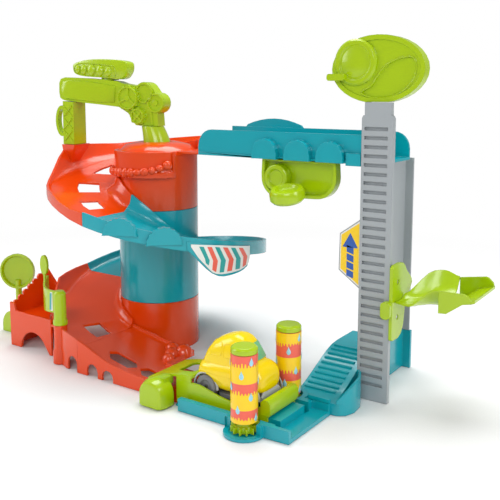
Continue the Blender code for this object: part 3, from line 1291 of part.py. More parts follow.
def flat_in_arch(name, outline, thick, shift, kind="green", cutter=False):
    """A plate in the arch's plane from an outline of (distance out, height)."""
    out, square = arch_frame()
    bm = bmesh.new()
    sides = []
    for offset in (-thick / 2 + shift, thick / 2 + shift):
        sides.append([bm.verts.new(out * d + square * offset + Vector((0, 0, h)))
                      for d, h in outline])
    bm.faces.new(sides[0])
    bm.faces.new(list(reversed(sides[1])))
    for k in range(len(outline)):
        n = (k + 1) % len(outline)
        bm.faces.new((sides[0][k], sides[1][k], sides[1][n], sides[0][n]))
    return finish(name, bm, kind, cutter=cutter)


def crane():
    """Post, boom with gear discs, leg with lattice and loop handle, and the lamp bar."""
    head = SECTION_Z[3]
    post = bmesh.new()
    sections = []
    out, square = arch_frame()
    for k in range(6):
        t = k / 5
        z = head - 0.010 + (CRANE_POST_TOP + 0.010) * t
        lean = 0.0068 * max(0.0, (t - 0.3) / 0.7) ** 1.5
        r = CRANE_POST_R - 0.0046 * t ** 1.5
        sections.append([post.verts.new(out * lean + Vector((r * math.cos(a), r * math.sin(a), z)))
                         for a in [2 * math.pi * j / 18 for j in range(18)]])
    join_sections(post, sections)
    finish("crane_post", post, "green", smooth=50)
    top = head + CRANE_POST_TOP + GAP
    low = [(-0.0065, 0.0), (0.0205, 0.0), (0.0251, 0.0010), (0.0382, 0.0159), (0.0516, 0.0234),
           (0.0800, 0.0262), (0.1100, 0.0287), (0.1347, 0.0311), (0.1400, 0.0322), (0.1440, 0.0350),
           (0.1452, 0.0420), (0.1448, 0.0540), (0.1420, 0.0595), (0.1351, 0.0614), (0.1000, 0.0600),
           (0.0700, 0.0577), (0.0540, 0.0560), (0.0450, 0.0530)]
    boom_outline = [(d, top + h) for d, h in low]
    boom_outline += arc((0.0139, top + 0.0411), 0.0137, 40, 140, 6)
    boom_outline += arc((-0.0027, top + 0.0288), 0.0129, 90, 258, 8)
    boom = flat_in_arch("crane_boom", boom_outline, ARCH_T, 0.0)
    discs = []
    for d, h, r, teeth in ((0.0363, top + 0.0348, 0.0165, 12), (0.0220, top + 0.0120, 0.0113, 8)):
        points = []
        for k in range(teeth * 4):
            rr = r if k % 4 < 2 else r * 0.88
            t = 2 * math.pi * k / (teeth * 4)
            points.append((d + rr * math.cos(t), h + rr * math.sin(t)))
        discs.append(flat_in_arch("disc", points, 0.006, ARCH_T / 2 + 0.0008, cutter=True))
    boolean(boom, discs, "UNION")
    foot = DECK_TOP + LEG_FOOT + GAP
    under = top + 0.0287 - GAP
    leg = flat_in_arch("crane_leg", [(LEG_IN, foot), (LEG_OUT, foot),
                                     (LEG_OUT - 0.0008, under + 0.0020), (LEG_IN, under + 0.0007)],
                       LEG_DEPTH, 0.0)
    lattice = []
    tall = (under - foot - 0.006) / 3
    for k in range(3):
        z = foot + 0.003 + tall * k
        for flip in (0, 1):
            ends = (z + 0.0016, z + tall - 0.0016) if flip == 0 else (z + tall - 0.0016, z + 0.0016)
            near, far = LEG_IN + 0.002 + 0.0005 * flip, LEG_OUT - 0.002 - 0.0005 * flip
            bar = [(near, ends[0] - 0.0010), (far, ends[1] - 0.0010),
                   (far, ends[1] + 0.0010), (near, ends[0] + 0.0010)]
            lattice.append(flat_in_arch("bar", bar, 0.0030, LEG_DEPTH / 2 - 0.0006 + 0.0004 * flip,
                                        cutter=True))
    for bar in lattice:
        boolean(leg, [bar], "UNION")
    loop = bmesh.new()
    centre = out * (LEG_OUT + 0.0090)
    ring = [(0.0098 * math.cos(2 * math.pi * k / 20), 0.0205 * math.sin(2 * math.pi * k / 20))
            for k in range(20)]
    loops = []
    for rad, off in ((1.0, -0.004), (1.0, 0.004), (0.62, 0.004), (0.62, -0.004)):
        loops.append([loop.verts.new(centre + out * (u * rad) + square * off
                                     + Vector((0, 0, foot + 0.0300 + v * (rad if rad == 1 else 0.76))))
                      for u, v in ring])
    for a, b in zip(loops, loops[1:] + loops[:1]):
        for k in range(20):
            n = (k + 1) % 20
            loop.faces.new((a[k], a[n], b[n], b[k]))
    boolean(leg, [finish("loop", loop, "green", cutter=True)], "UNION")
    seat = top + 0.0577 + GAP
    neck = [(0.0600, seat - 0.0007), (0.0700, seat + 0.0006), (0.0800, seat + 0.0016),
            (0.0800, seat + 0.010), (0.0600, seat + 0.010)]
    bar_outline = [(0.0477, seat - 0.0006), (0.0780, seat + 0.0030), (0.1173, seat + 0.0062),
                   (0.1213, seat + 0.0110), (0.1225, seat + 0.0175), (0.1210, seat + 0.0217),
                   (0.0976, seat + 0.0265), (0.0650, seat + 0.0262), (0.0396, seat + 0.0232),
                   (0.0362, seat + 0.0180), (0.0400, seat + 0.0070)]
    lamp = flat_in_arch("lamp_bar", bar_outline, LAMP_DEPTH, 0.0)
    boolean(lamp, [flat_in_arch("neck", neck, 0.011, 0.0, cutter=True)], "UNION")
    for k in range(5):
        lights = bmesh.new()
        d = 0.0615 + 0.0135 * k
        spot = out * d + square * (LAMP_DEPTH / 2 - 0.0004) + Vector((0, 0, seat + 0.0140))
        rings = []
        for r, off in ((0.0050, 0.0), (0.0050, 0.0022), (0.0034, 0.0034)):
            rings.append([lights.verts.new(spot + square * off + out * (r * math.cos(t))
                                           + Vector((0, 0, r * math.sin(t))))
                          for t in [2 * math.pi * j / 10 for j in range(10)]])
        for a, b in zip(rings, rings[1:]):
            for j in range(10):
                n = (j + 1) % 10
                lights.faces.new((a[j], a[n], b[n], b[j]))
        lights.faces.new(rings[0])
        lights.faces.new(rings[-1])
        boolean(lamp, [finish("light", lights, "green", cutter=True)], "UNION")


# Exit platform, gate and round sign
def platform():
    """Orange side platform: floor, arched front wall and stepped left wall."""
    bm = bmesh.new()
    reach = DECK_R + GAP + 0.0006
    edge = []
    a0 = math.atan2(PLATFORM_FRONT_Y, -math.sqrt(reach ** 2 - PLATFORM_FRONT_Y ** 2))
    a1 = math.atan2(PLATFORM_BACK_Y, -math.sqrt(reach ** 2 - PLATFORM_BACK_Y ** 2))
    for k in range(9):
        a = a0 + (a1 - a0) * k / 8
        edge.append((reach * math.cos(a), reach * math.sin(a)))
    outline = [(PLATFORM_X0, PLATFORM_FRONT_Y)] + edge + [(PLATFORM_X0, PLATFORM_BACK_Y)]
    add_prism(bm, outline, "z", PLATFORM_Z - FLOOR_T, PLATFORM_Z)
    deck = finish("exit_platform", bm, "orange")
    front = bmesh.new()
    x1 = -math.sqrt(reach ** 2 - (PLATFORM_FRONT_Y + WALL) ** 2) - 0.0004
    wall = [(PLATFORM_X0, 0.0), (PLATFORM_X0 + 0.019, 0.0)]
    wall += arc((PLATFORM_X0 + 0.043, 0.0), 0.0235, 178, 40, 10)
    wall += [(x1 - 0.004, 0.0), (x1, 0.0), (x1, PLATFORM_Z + 0.0055),
             (PLATFORM_X0 + 0.016, PLATFORM_Z + 0.0060),
             (PLATFORM_X0 + 0.011, PLATFORM_Z + 0.0060), (PLATFORM_X0 + 0.008, PLATFORM_Z + 0.0150),
             (PLATFORM_X0, PLATFORM_Z + 0.0160)]
    add_prism(front, wall, "y", PLATFORM_FRONT_Y - 0.0003, PLATFORM_FRONT_Y + WALL)
    side = bmesh.new()
    steps = [(PLATFORM_FRONT_Y, 0.0), (PLATFORM_BACK_Y, 0.0)]
    rise = []
    count = 7
    for k in range(count):
        y = PLATFORM_FRONT_Y + 0.004 + (PLATFORM_BACK_Y - PLATFORM_FRONT_Y - 0.006) * k / count
        width = (PLATFORM_BACK_Y - PLATFORM_FRONT_Y - 0.006) / count
        z = PLATFORM_Z + 0.0145 + 0.0052 * k
        rise += [(y, z), (y + width * 0.25, z + 0.0026), (y + width * 0.75, z + 0.0026),
                 (y + width, z + 0.0012)]
    rise.append((PLATFORM_BACK_Y, PLATFORM_Z + 0.050))
    steps += list(reversed(rise)) + [(PLATFORM_FRONT_Y, PLATFORM_Z + 0.0145)]
    add_prism(side, steps, "x", PLATFORM_X0 - 0.0002, PLATFORM_X0 + WALL)
    rear = bmesh.new()
    x_back = edge[-1][0] - 0.0004
    add_prism(rear, [(PLATFORM_X0, 0.0), (x_back, 0.0), (x_back, PLATFORM_Z + 0.030),
                     (PLATFORM_X0, PLATFORM_Z + 0.050)], "y",
              PLATFORM_BACK_Y - WALL, PLATFORM_BACK_Y + 0.0003)
    boolean(deck, [finish("front", front, "orange", cutter=True),
                   finish("side", side, "orange", cutter=True),
                   finish("rear", rear, "orange", cutter=True)], "UNION")
    return deck


def gate():
    """Swinging gate on the deck's socket: post, bowed barrier and a small paddle sign."""
    x0, y0 = GATE_AT
    hinge = pivot("gate_axis", (x0, y0, GATE_SEAT))
    post = bmesh.new()
    top = GATE_SEAT + GATE_POST_H
    collar = GATE_R + 0.0006
    add_turned(post, [(0, 0.010), (GATE_PIN_R, 0.010), (GATE_PIN_R, GATE_SEAT), (collar, GATE_SEAT),
                      (collar, GATE_SEAT + 0.005), (GATE_R - 0.0006, GATE_SEAT + 0.007),
                      (GATE_R - 0.0006, top - 0.003), (GATE_R - 0.003, top), (0, top)],
               (x0, y0, 0.0), 20)
    finish("gate_post", post, "green", hinge)
    panel = bmesh.new()
    sections = []
    count = 10
    step = GATE_LENGTH / count
    spot = Vector((x0 - GATE_R - 0.0002, y0 + 0.0010))
    for k in range(count + 1):
        t = k / count
        heading = math.radians(178.0 - 66.0 * t)
        along = Vector((math.cos(heading), math.sin(heading)))
        side = Vector((-along.y, along.x)) * 0.0014
        low = GATE_SEAT + 0.0125 - 0.0065 * t
        high = GATE_SEAT + 0.0395 + 0.0060 * t * t - 0.002 * math.sin(math.pi * t)
        sections.append([panel.verts.new((q.x, q.y, z)) for q, z in
                         ((spot - side, low), (spot - side, high), (spot + side, high),
                          (spot + side, low))])
        if k == 8:
            tip = (spot.x, spot.y, high)
        spot = spot + along * step
    join_sections(panel, sections)
    barrier = finish("gate_panel", panel, "green", hinge, smooth=50)
    paddle = bmesh.new()
    add_box(paddle, (tip[0] - 0.0014, tip[1] - 0.0011, tip[2] - 0.004),
            (tip[0] + 0.0014, tip[1] + 0.0011, tip[2] + 0.010))
    stick = finish("paddle", paddle, "green", hinge, cutter=True)
    face = bmesh.new()
    oval = [(tip[0] + 0.0064 * math.cos(t), tip[2] + 0.0195 + 0.0125 * math.sin(t))
            for t in [2 * math.pi * k / 20 for k in range(20)]]
    add_prism(face, oval, "y", tip[1] - 0.0016, tip[1] + 0.0016)
    boolean(barrier, [stick, finish("face", face, "green", hinge, cutter=True)], "UNION")
    return hinge


def round_sign():
    """Round dished sign on a pole and a domed foot, beside the platform."""
    x, y = ROUND_SIGN_AT
    foot = bmesh.new()
    edge = PLATFORM_X0 - GAP - 0.0004
    outline = [(x - 0.0235, 0.0)] + arc((x - 0.0025, 0.0090), 0.0210, 180, 50, 8)
    outline += [(x + 0.0200, 0.0165), (edge, 0.0150), (edge, 0.0)]
    add_prism(foot, outline, "y", y - 0.010, y + 0.010)
    base = finish("round_sign_foot", foot, "green")
    bore = bmesh.new()
    add_turned(bore, [(0, 0.018), (0.0045 + GAP, 0.018), (0.0045 + GAP, 0.05), (0, 0.05)], (x, y, 0), 16)
    boolean(base, [finish("bore", bore, "green", cutter=True)])
    pole = bmesh.new()
    add_turned(pole, [(0, 0.018 + GAP), (0.0045, 0.018 + GAP), (0.0040, ROUND_SIGN_Z - 0.012),
                      (0, ROUND_SIGN_Z - 0.012)], (x, y, 0), 16)
    stem = finish("round_sign_dish", pole, "green")
    dish = bmesh.new()
    turn = Matrix.Rotation(math.radians(28), 4, "Z") @ Matrix.Rotation(math.radians(90), 4, "X")
    verts = add_turned(dish, [(0, -0.0035), (0.021, -0.0035), (0.0235, -0.001), (0.0235, 0.0045),
                              (0.0210, 0.0045), (0.0195, 0.0005), (0, 0.0)], (0, 0, 0), 24)
    bmesh.ops.transform(dish, matrix=Matrix.Translation((x, y, ROUND_SIGN_Z)) @ turn, verts=verts)
    boolean(stem, [finish("dish", dish, "green", cutter=True)], "UNION")
    return base


tower_section("tower_base_shell", SECTION_Z[0], SECTION_Z[1], "orange")
tower_section("tower_middle_shell", SECTION_Z[1], SECTION_Z[2], "teal")
tower_top()
scallop_band()
upper_deck()
mid_deck()
lower_deck()
run_out_road()
bridge()
plaque()
lift_plate()
lift_column()
lift_boot()
lift_sign()
arrow_panel()
carriage()
wash_base()
rear_lobe_guard()
wash_ramp()
roller("front")
roller("rear")
push_frame()
car()
crane()
platform()
gate()
round_sign()
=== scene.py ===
# %% [markdown]
# # A toddler's toy garage
# The toy is a set of hollow plastic mouldings: a spiral road round a tower, a bridge, a lift
# with a sliding tray, and a car wash whose two rollers are turned by a push frame. The CAD
# model gives every size. This file dresses it: it rounds the edges, adds the small relief,
# the printed stickers and the materials, and sets up the studio.

# %% The fixed frame
import json
import random
from math import copysign, cos, pi, radians, sin

import bmesh
import bpy
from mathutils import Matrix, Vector


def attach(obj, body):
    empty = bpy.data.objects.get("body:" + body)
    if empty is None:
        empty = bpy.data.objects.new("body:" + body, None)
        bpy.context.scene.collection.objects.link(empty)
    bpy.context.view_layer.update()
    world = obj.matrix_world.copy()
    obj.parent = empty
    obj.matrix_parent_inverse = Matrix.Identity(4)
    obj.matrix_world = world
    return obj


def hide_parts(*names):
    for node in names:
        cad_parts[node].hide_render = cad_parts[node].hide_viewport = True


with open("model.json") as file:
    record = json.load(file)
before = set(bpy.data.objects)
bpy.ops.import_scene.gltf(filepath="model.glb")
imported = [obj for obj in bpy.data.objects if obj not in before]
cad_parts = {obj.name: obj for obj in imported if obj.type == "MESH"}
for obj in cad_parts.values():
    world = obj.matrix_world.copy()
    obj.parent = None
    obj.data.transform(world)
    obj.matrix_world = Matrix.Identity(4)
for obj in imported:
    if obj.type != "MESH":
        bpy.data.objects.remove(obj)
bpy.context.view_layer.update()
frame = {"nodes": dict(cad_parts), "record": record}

# %% [markdown]
# ## Nodes and meshes
# Short helpers keep the rest readable: one adds a node and gives each input a value or a
# link, another turns a finished bmesh into an object.

# %% Adding a node, and an object from a mesh
def add_node(tree, kind, inputs=(), **settings):
    """A new node; an input that is given a socket is linked to it."""
    node = tree.nodes.new(kind)
    for key, value in settings.items():
        setattr(node, key, value)
    for key, value in dict(inputs).items():
        if isinstance(value, bpy.types.NodeSocket):
            tree.links.new(value, node.inputs[key])
        else:
            node.inputs[key].default_value = value
    return node


def worked(tree, operation, *values):
    """The result of a Math node on numbers and sockets."""
    return add_node(tree, "ShaderNodeMath", dict(enumerate(values)), operation=operation).outputs[0]


def node_tree(name):
    """A new material with an empty tree."""
    made = bpy.data.materials.new(name)
    made.use_nodes = True
    made.node_tree.nodes.clear()
    return made, made.node_tree


def linked(name, data):
    """A new object in the scene."""
    made = bpy.data.objects.new(name, data)
    bpy.context.collection.objects.link(made)
    return made


def mesh_object(name, form):
    """An object that holds a bmesh."""
    mesh = bpy.data.meshes.new(name)
    form.to_mesh(mesh)
    form.free()
    return linked(name, mesh)


print("node and mesh helpers ready")

# %% [markdown]
# ## Camera
# The photograph was taken with a fairly long lens, a little above the toy. The picture's
# upright lines stay nearly parallel, which says that the camera was almost level and that
# the picture was cropped low. A small vertical shift does the same here.

# %% Camera at the photograph's angle
CAMERA_AT = (0.62998, -0.71553, 0.32338)
CAMERA_DOWN, CAMERA_ROUND = 7.628, 34.324

camera_data = bpy.data.cameras.new("studio_camera")
camera_data.lens = 53.86
camera_data.sensor_width = 36.0
camera_data.shift_y = -0.12
camera_data.clip_start = 0.02
studio_camera = linked("studio_camera", camera_data)
studio_camera.location = CAMERA_AT
studio_camera.rotation_euler = (radians(90.0 - CAMERA_DOWN), 0.0, radians(CAMERA_ROUND))
bpy.context.scene.camera = studio_camera
bpy.context.scene.view_settings.view_transform = "Standard"
print("lens", camera_data.lens, "mm")

# %% [markdown]
# ## Studio
# Glossy plastic shows what is around it, so the lamps are large soft panels: one overhead,
# one at each side, and one low in front. The floor is a pale matt sheet. Away from the toy
# its colour runs out to plain white, which is what the camera sees of the backdrop too.

# %% Floor and world
FLOOR_AT, FLOOR_R = (0.12, -0.02, -0.0004), 6.0
PAPER_PALE, PAPER_DARK = 0.86, 0.80
FADE_START, FADE_END = 0.42, 0.95
WORLD_LIGHT = 0.34
WHITE = (1.0, 1.0, 1.0, 1.0)

floor_finish, tree = node_tree("studio_floor_paper")
coords = add_node(tree, "ShaderNodeTexCoord").outputs["Object"]
grain = add_node(tree, "ShaderNodeTexNoise", {"Vector": coords, "Scale": 900.0})
shade = add_node(tree, "ShaderNodeMapRange", {"Value": grain.outputs["Fac"], "To Min": PAPER_DARK,
                                              "To Max": PAPER_PALE}).outputs["Result"]
colour = add_node(tree, "ShaderNodeCombineColor", {"Red": shade, "Green": shade, "Blue": shade})
paper = add_node(tree, "ShaderNodeBsdfPrincipled", {"Base Color": colour.outputs["Color"],
                                                    "Roughness": 0.9, "Specular IOR Level": 0.1})
distance = add_node(tree, "ShaderNodeVectorMath", {0: coords}, operation="LENGTH")
fade = add_node(tree, "ShaderNodeMapRange",
                {"Value": distance.outputs["Value"], "From Min": FADE_START, "From Max": FADE_END},
                interpolation_type="SMOOTHSTEP")
seen = add_node(tree, "ShaderNodeLightPath").outputs["Is Camera Ray"]
both = worked(tree, "MULTIPLY", fade.outputs["Result"], seen)
glow = add_node(tree, "ShaderNodeEmission")
mix = add_node(tree, "ShaderNodeMixShader", {"Fac": both, 1: paper.outputs["BSDF"],
                                             2: glow.outputs["Emission"]})
add_node(tree, "ShaderNodeOutputMaterial", {"Surface": mix.outputs["Shader"]})

form = bmesh.new()
bmesh.ops.create_circle(form, cap_ends=True, segments=64, radius=FLOOR_R)
bmesh.ops.translate(form, vec=FLOOR_AT, verts=form.verts)
studio_floor = mesh_object("studio_floor", form)
studio_floor.data.materials.append(floor_finish)

world = bpy.data.worlds.new("studio_world")
world.use_nodes = True
sky = world.node_tree
sky.nodes.clear()
dim = add_node(sky, "ShaderNodeBackground", {"Color": WHITE, "Strength": WORLD_LIGHT})
white = add_node(sky, "ShaderNodeBackground", {"Color": WHITE, "Strength": 1.0})
seen = add_node(sky, "ShaderNodeLightPath").outputs["Is Camera Ray"]
mix = add_node(sky, "ShaderNodeMixShader", {"Fac": seen, 1: dim.outputs["Background"],
                                            2: white.outputs["Background"]})
add_node(sky, "ShaderNodeOutputWorld", {"Surface": mix.outputs["Shader"]})
bpy.context.scene.world = world
print("floor and world set")


# %% Soft lamps
def soft_lamp(name, place, aim, size, power):
    """A square area lamp that looks at a point."""
    data = bpy.data.lights.new(name, "AREA")
    data.shape = "RECTANGLE"
    data.size, data.size_y = size
    data.energy = power
    lamp = linked(name, data)
    lamp.location = place
    towards = Vector(aim) - Vector(place)
    lamp.rotation_euler = towards.to_track_quat("-Z", "Y").to_euler()


soft_lamp("overhead_panel", (0.0, 0.35, 1.5), (0.1, 0.0, 0.1), (1.2, 0.9), 21.0)
soft_lamp("left_panel", (-1.1, -0.9, 0.9), (0.0, 0.0, 0.15), (0.7, 1.0), 9.0)
soft_lamp("right_panel", (1.5, -0.1, 0.8), (0.1, 0.0, 0.15), (0.4, 1.0), 7.0)
soft_lamp("front_panel", (0.9, -1.5, 1.0), (0.1, 0.0, 0.15), (0.9, 0.6), 10.0)
print("lamps:", len(bpy.data.lights))

# %% [markdown]
# ## Moulded plastic
# Every moulding here is pigmented plastic from a polished steel tool. Up close its gloss is
# never perfect: the skin waves very slightly where it cooled, the pigment drifts a little,
# and handled parts have fine scuffs that turn the gloss dull in places. One node group gives
# these as a colour, a roughness and a normal, and each plastic sets its own amounts.

# %% The shared skin of a moulding
def node_group(name, kind, inputs, outputs):
    """A node group with named sockets: each has a kind, or a default value that tells it."""
    tree = bpy.data.node_groups.new(name, kind)
    words = {int: "Int", float: "Float", tuple: "Vector"}
    sockets = {}
    for key, value in inputs.items():
        word = words.get(type(value), value)
        item = tree.interface.new_socket(key, in_out="INPUT", socket_type="NodeSocket" + word)
        if word != value:
            item.default_value = value
        sockets[key] = item.identifier
    for key, word in outputs.items():
        tree.interface.new_socket(key, in_out="OUTPUT", socket_type="NodeSocket" + word)
    return tree, sockets, add_node(tree, "NodeGroupInput").outputs


def moulded_skin():
    """Node group: pigment drift, scuffs and the slight wave of a cooled skin."""
    group, _, given = node_group(
        "moulded_skin", "ShaderNodeTree",
        {"Pigment": "Color", "Drift": 0.05, "Gloss Roughness": 0.2, "Scuff": 0.12,
         "Wave Size": 60.0, "Wave Strength": 0.06, "Corner": 0.0009},
        {"Color": "Color", "Roughness": "Float", "Normal": "Vector"})
    place = add_node(group, "ShaderNodeTexCoord").outputs["Object"]

    broad = add_node(group, "ShaderNodeTexNoise", {"Vector": place, "Scale": 14.0, "Detail": 3.0})
    centred = worked(group, "SUBTRACT", broad.outputs["Fac"], 0.5)
    amount = worked(group, "MULTIPLY_ADD", centred, given["Drift"], 1.0)
    tint = add_node(group, "ShaderNodeHueSaturation", {"Color": given["Pigment"], "Value": amount})

    streaks = add_node(group, "ShaderNodeTexNoise",
                       {"Vector": place, "Scale": 130.0, "Detail": 6.0, "Roughness": 0.7})
    rubbed = add_node(group, "ShaderNodeMapRange",
                      {"Value": streaks.outputs["Fac"], "From Min": 0.5, "From Max": 0.8})
    rough = worked(group, "MULTIPLY_ADD", rubbed.outputs["Result"], given["Scuff"],
                   given["Gloss Roughness"])

    wave = add_node(group, "ShaderNodeTexNoise",
                    {"Vector": place, "Scale": given["Wave Size"], "Detail": 1.5})
    corner = add_node(group, "ShaderNodeBevel", {"Radius": given["Corner"]}, samples=4)
    bump = add_node(group, "ShaderNodeBump",
                    {"Distance": 0.002, "Normal": corner.outputs["Normal"],
                     "Strength": given["Wave Strength"], "Height": wave.outputs["Fac"]})
    add_node(group, "NodeGroupOutput",
             {"Color": tint.outputs["Color"], "Roughness": rough, "Normal": bump.outputs["Normal"]})
    return group


skin = moulded_skin()
print("skin sockets:", [item.name for item in skin.interface.items_tree])


# %% [markdown]
# ## The toy's plastics
# Each colour is one Principled shader fed by the group. The bright mouldings also have a
# thin clear coat, which gives the sharp highlight of a polished tool over a softer gloss.

# %% A plastic from its colour
def plastic(name, colour, rough=0.22, scuff=0.04, drift=0.05, wave=0.04, coat=0.25, grain=60.0,
            corner=0.0009):
    """A moulded plastic with its own pigment and gloss."""
    made, tree = node_tree(name)
    surface = add_node(tree, "ShaderNodeGroup",
                       {"Pigment": (*colour, 1.0), "Drift": drift, "Gloss Roughness": rough,
                        "Scuff": scuff, "Wave Size": grain, "Wave Strength": wave,
                        "Corner": corner}, node_tree=skin)
    shader = add_node(tree, "ShaderNodeBsdfPrincipled",
                      {"Base Color": surface.outputs["Color"], "Normal": surface.outputs["Normal"],
                       "Roughness": surface.outputs["Roughness"], "Coat Weight": coat,
                       "Coat Roughness": 0.08})
    add_node(tree, "ShaderNodeOutputMaterial", {"Surface": shader.outputs["BSDF"]})
    return made


def label(name, colour, rough=0.3, drift=0.03, coat=0.3):
    """A printed sheet: the same plastic, without the rounded corners of a moulding."""
    return plastic(name, colour, rough=rough, drift=drift, coat=coat, corner=0.0)


orange_plastic = plastic("orange_moulding", (0.76, 0.056, 0.0))
teal_plastic = plastic("teal_moulding", (0.0, 0.34, 0.41))
lime_plastic = plastic("lime_moulding", (0.38, 0.55, 0.0), drift=0.07)
grey_plastic = plastic("grey_moulding", (0.36, 0.39, 0.41), rough=0.38, scuff=0.15, coat=0.1)
yellow_plastic = plastic("yellow_moulding", (0.90, 0.66, 0.0), rough=0.20)
wheel_plastic = plastic("wheel_moulding", (0.17, 0.175, 0.19), rough=0.42, coat=0.05)
bumper_plastic = plastic("bumper_moulding", (0.45, 0.47, 0.48), rough=0.35, coat=0.1)
white_label = label("white_label", (0.82, 0.82, 0.80), drift=0.02, coat=0.2)
coral_label = label("coral_label", (0.86, 0.12, 0.075))
teal_label = label("teal_label", (0.0, 0.34, 0.33))
yellow_label = label("yellow_label", (0.95, 0.62, 0.0))
blue_label = label("blue_label", (0.01, 0.09, 0.42))
drop_label = label("drop_label", (0.33, 0.66, 0.80), drift=0.05)
glass_label = label("windscreen_label", (0.13, 0.47, 0.25), rough=0.18, coat=0.4)
print("plastics made")

# %% [markdown]
# The pins and screws are plain drawn steel, the only metal in the toy.

# %% Steel
steel, tree = node_tree("drawn_steel")
place = add_node(tree, "ShaderNodeTexCoord").outputs["Object"]
lines = add_node(tree, "ShaderNodeTexNoise", {"Vector": place, "Scale": 700.0})
shine = add_node(tree, "ShaderNodeMapRange",
                 {"Value": lines.outputs["Fac"], "To Min": 0.22, "To Max": 0.42})
shader = add_node(tree, "ShaderNodeBsdfPrincipled",
                  {"Metallic": 1.0, "Base Color": (0.60, 0.60, 0.61, 1.0),
                   "Roughness": shine.outputs["Result"]})
add_node(tree, "ShaderNodeOutputMaterial", {"Surface": shader.outputs["BSDF"]})
finish_of_slot = {
    "orange": orange_plastic, "teal": teal_plastic, "green": lime_plastic, "grey": grey_plastic,
    "yellow": yellow_plastic, "coral": coral_label, "tyre_grey": wheel_plastic,
    "white": white_label, "steel": steel,
}
print("finishes:", sorted(finish_of_slot))

# %% Every CAD node gets the finish of its slot
slot_of = {part["node"]: part["material_slot"] for part in frame["record"]["subparts"]}
body_of = {node: body for body, nodes in frame["record"]["behaviour"]["bodies"].items()
           for node in nodes}
for node, piece in frame["nodes"].items():
    piece.data.materials.clear()
    piece.data.materials.append(finish_of_slot[slot_of[node]])
print("nodes dressed:", len(slot_of))


# %% [markdown]
# ## Helpers for the pieces
# Most of the relief is made in mesh code: an outline pushed to a thickness, a profile turned
# about an axis, or a bead along a path. Each piece says which body carries it and which slot
# of the record its finish belongs to.

# %% Making a piece
def carried(piece, body, slot, finish=None):
    """Dresses a piece and puts it on its body."""
    piece.data.materials.append(finish or finish_of_slot[slot])
    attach(piece, body)
    return piece


def place_piece(name, form, body, slot, finish=None, stands_for=(), smooth=40.0):
    """Turns a bmesh into a finished piece on one body."""
    bmesh.ops.recalc_face_normals(form, faces=form.faces)
    piece = mesh_object(name, form)
    piece.data.shade_smooth()
    piece.data.set_sharp_from_angle(angle=radians(smooth))
    carried(piece, body, slot, finish)
    if stands_for:
        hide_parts(*stands_for)
    return piece


def skin_rings(form, rings, closed=False):
    """Faces between equal rings of points, and over the two ends of an open row."""
    rings = [[form.verts.new(point) for point in ring] for ring in rings]
    pairs = list(zip(rings, rings[1:])) + ([(rings[-1], rings[0])] if closed else [])
    for one, other in pairs:
        for k in range(len(one)):
            n = (k + 1) % len(one)
            form.faces.new((one[k], one[n], other[n], other[k]))
    if not closed:
        form.faces.new(list(reversed(rings[0])))
        form.faces.new(rings[-1])


print("helpers ready")

# %% [markdown]
# ## Printed stickers
# A sticker is a sheet a tenth of a millimetre thick that follows what it is stuck on. The
# same sheet maker serves the curved apron, the bowed gate and the flat arrow panel: it takes
# a grid of points on the surface and a rule that puts each point in space.

# %% A thin sheet on any surface
def sheet(form, grid, place, low, high):
    """A closed thin sheet over a grid; place turns (a, b, height) into a point."""
    low_side, high_side = [[[form.verts.new(place(a, b, t)) for a, b in row] for row in grid]
                           for t in (low, high)]
    rows, columns = len(grid), len(grid[0])
    for j in range(rows - 1):
        for k in range(columns - 1):
            for side in (low_side, high_side):
                form.faces.new((side[j][k], side[j][k + 1], side[j + 1][k + 1], side[j + 1][k]))
    rim = [(0, k) for k in range(columns)] + [(j, columns - 1) for j in range(1, rows)]
    rim += [(rows - 1, k) for k in range(columns - 2, -1, -1)]
    rim += [(j, 0) for j in range(rows - 2, 0, -1)]
    for (j, k), (m, n) in zip(rim, rim[1:] + rim[:1]):
        form.faces.new((low_side[j][k], low_side[m][n], high_side[m][n], high_side[j][k]))


def read_table(table, value):
    """Straight-line reading of (place, number) pairs."""
    for (a, low), (b, high) in zip(table, table[1:]):
        if a <= value <= b:
            return low + (high - low) * (value - a) / (b - a)
    return table[0][1] if value < table[0][0] else table[-1][1]


# A sticker's white sheet and its print lie at these heights above the surface.
SHEET, PRINT = (0.00010, 0.00030), (0.00036, 0.00046)
GATE_SHEET, GATE_PRINT = (0.00012, 0.00028), (0.00030, 0.00040)
DECK_R = 0.138
APRON_R = DECK_R + 0.0010
STICKER_SPAN = (325.9, 361.2)
STICKER_TOP = ((325.6, 0.1530), (340.0, 0.1486), (350.0, 0.1445), (361.3, 0.1402))
STICKER_LOW = (
    (325.8, 0.1504), (329.5, 0.1366), (334.0, 0.1245), (336.3, 0.1184), (338.6, 0.1158),
    (342.0, 0.1142), (347.0, 0.1138), (353.0, 0.1144), (357.0, 0.1164), (360.0, 0.1198),
    (361.2, 0.1276),
)
CHEVRONS = (
    (329.8, 0.1496, 332.1, 0.1489, 335.1, 0.1324, 334.6, 0.1268, 333.1, 0.1298, 332.7, 0.1349),
    (333.9, 0.1483, 336.3, 0.1475, 339.5, 0.1305, 338.5, 0.1178, 336.4, 0.1212, 336.9, 0.1319),
    (338.0, 0.1471, 340.5, 0.1460, 344.1, 0.1295, 342.9, 0.1163, 340.4, 0.1166, 341.2, 0.1308),
    (342.4, 0.1454, 345.2, 0.1442, 349.0, 0.1289, 347.8, 0.1161, 344.8, 0.1163, 346.0, 0.1301),
    (347.2, 0.1434, 350.1, 0.1422, 353.8, 0.1283, 353.2, 0.1164, 350.1, 0.1164, 350.6, 0.1296),
    (352.4, 0.1414, 355.5, 0.1399, 359.0, 0.1285, 357.8, 0.1188, 355.2, 0.1172, 355.8, 0.1293),
)


def on_apron(degrees, height, lift):
    """A point on the apron's drum."""
    t = radians(degrees)
    return (APRON_R + lift) * cos(t), (APRON_R + lift) * sin(t), height


print("sheet maker ready, apron radius", APRON_R)

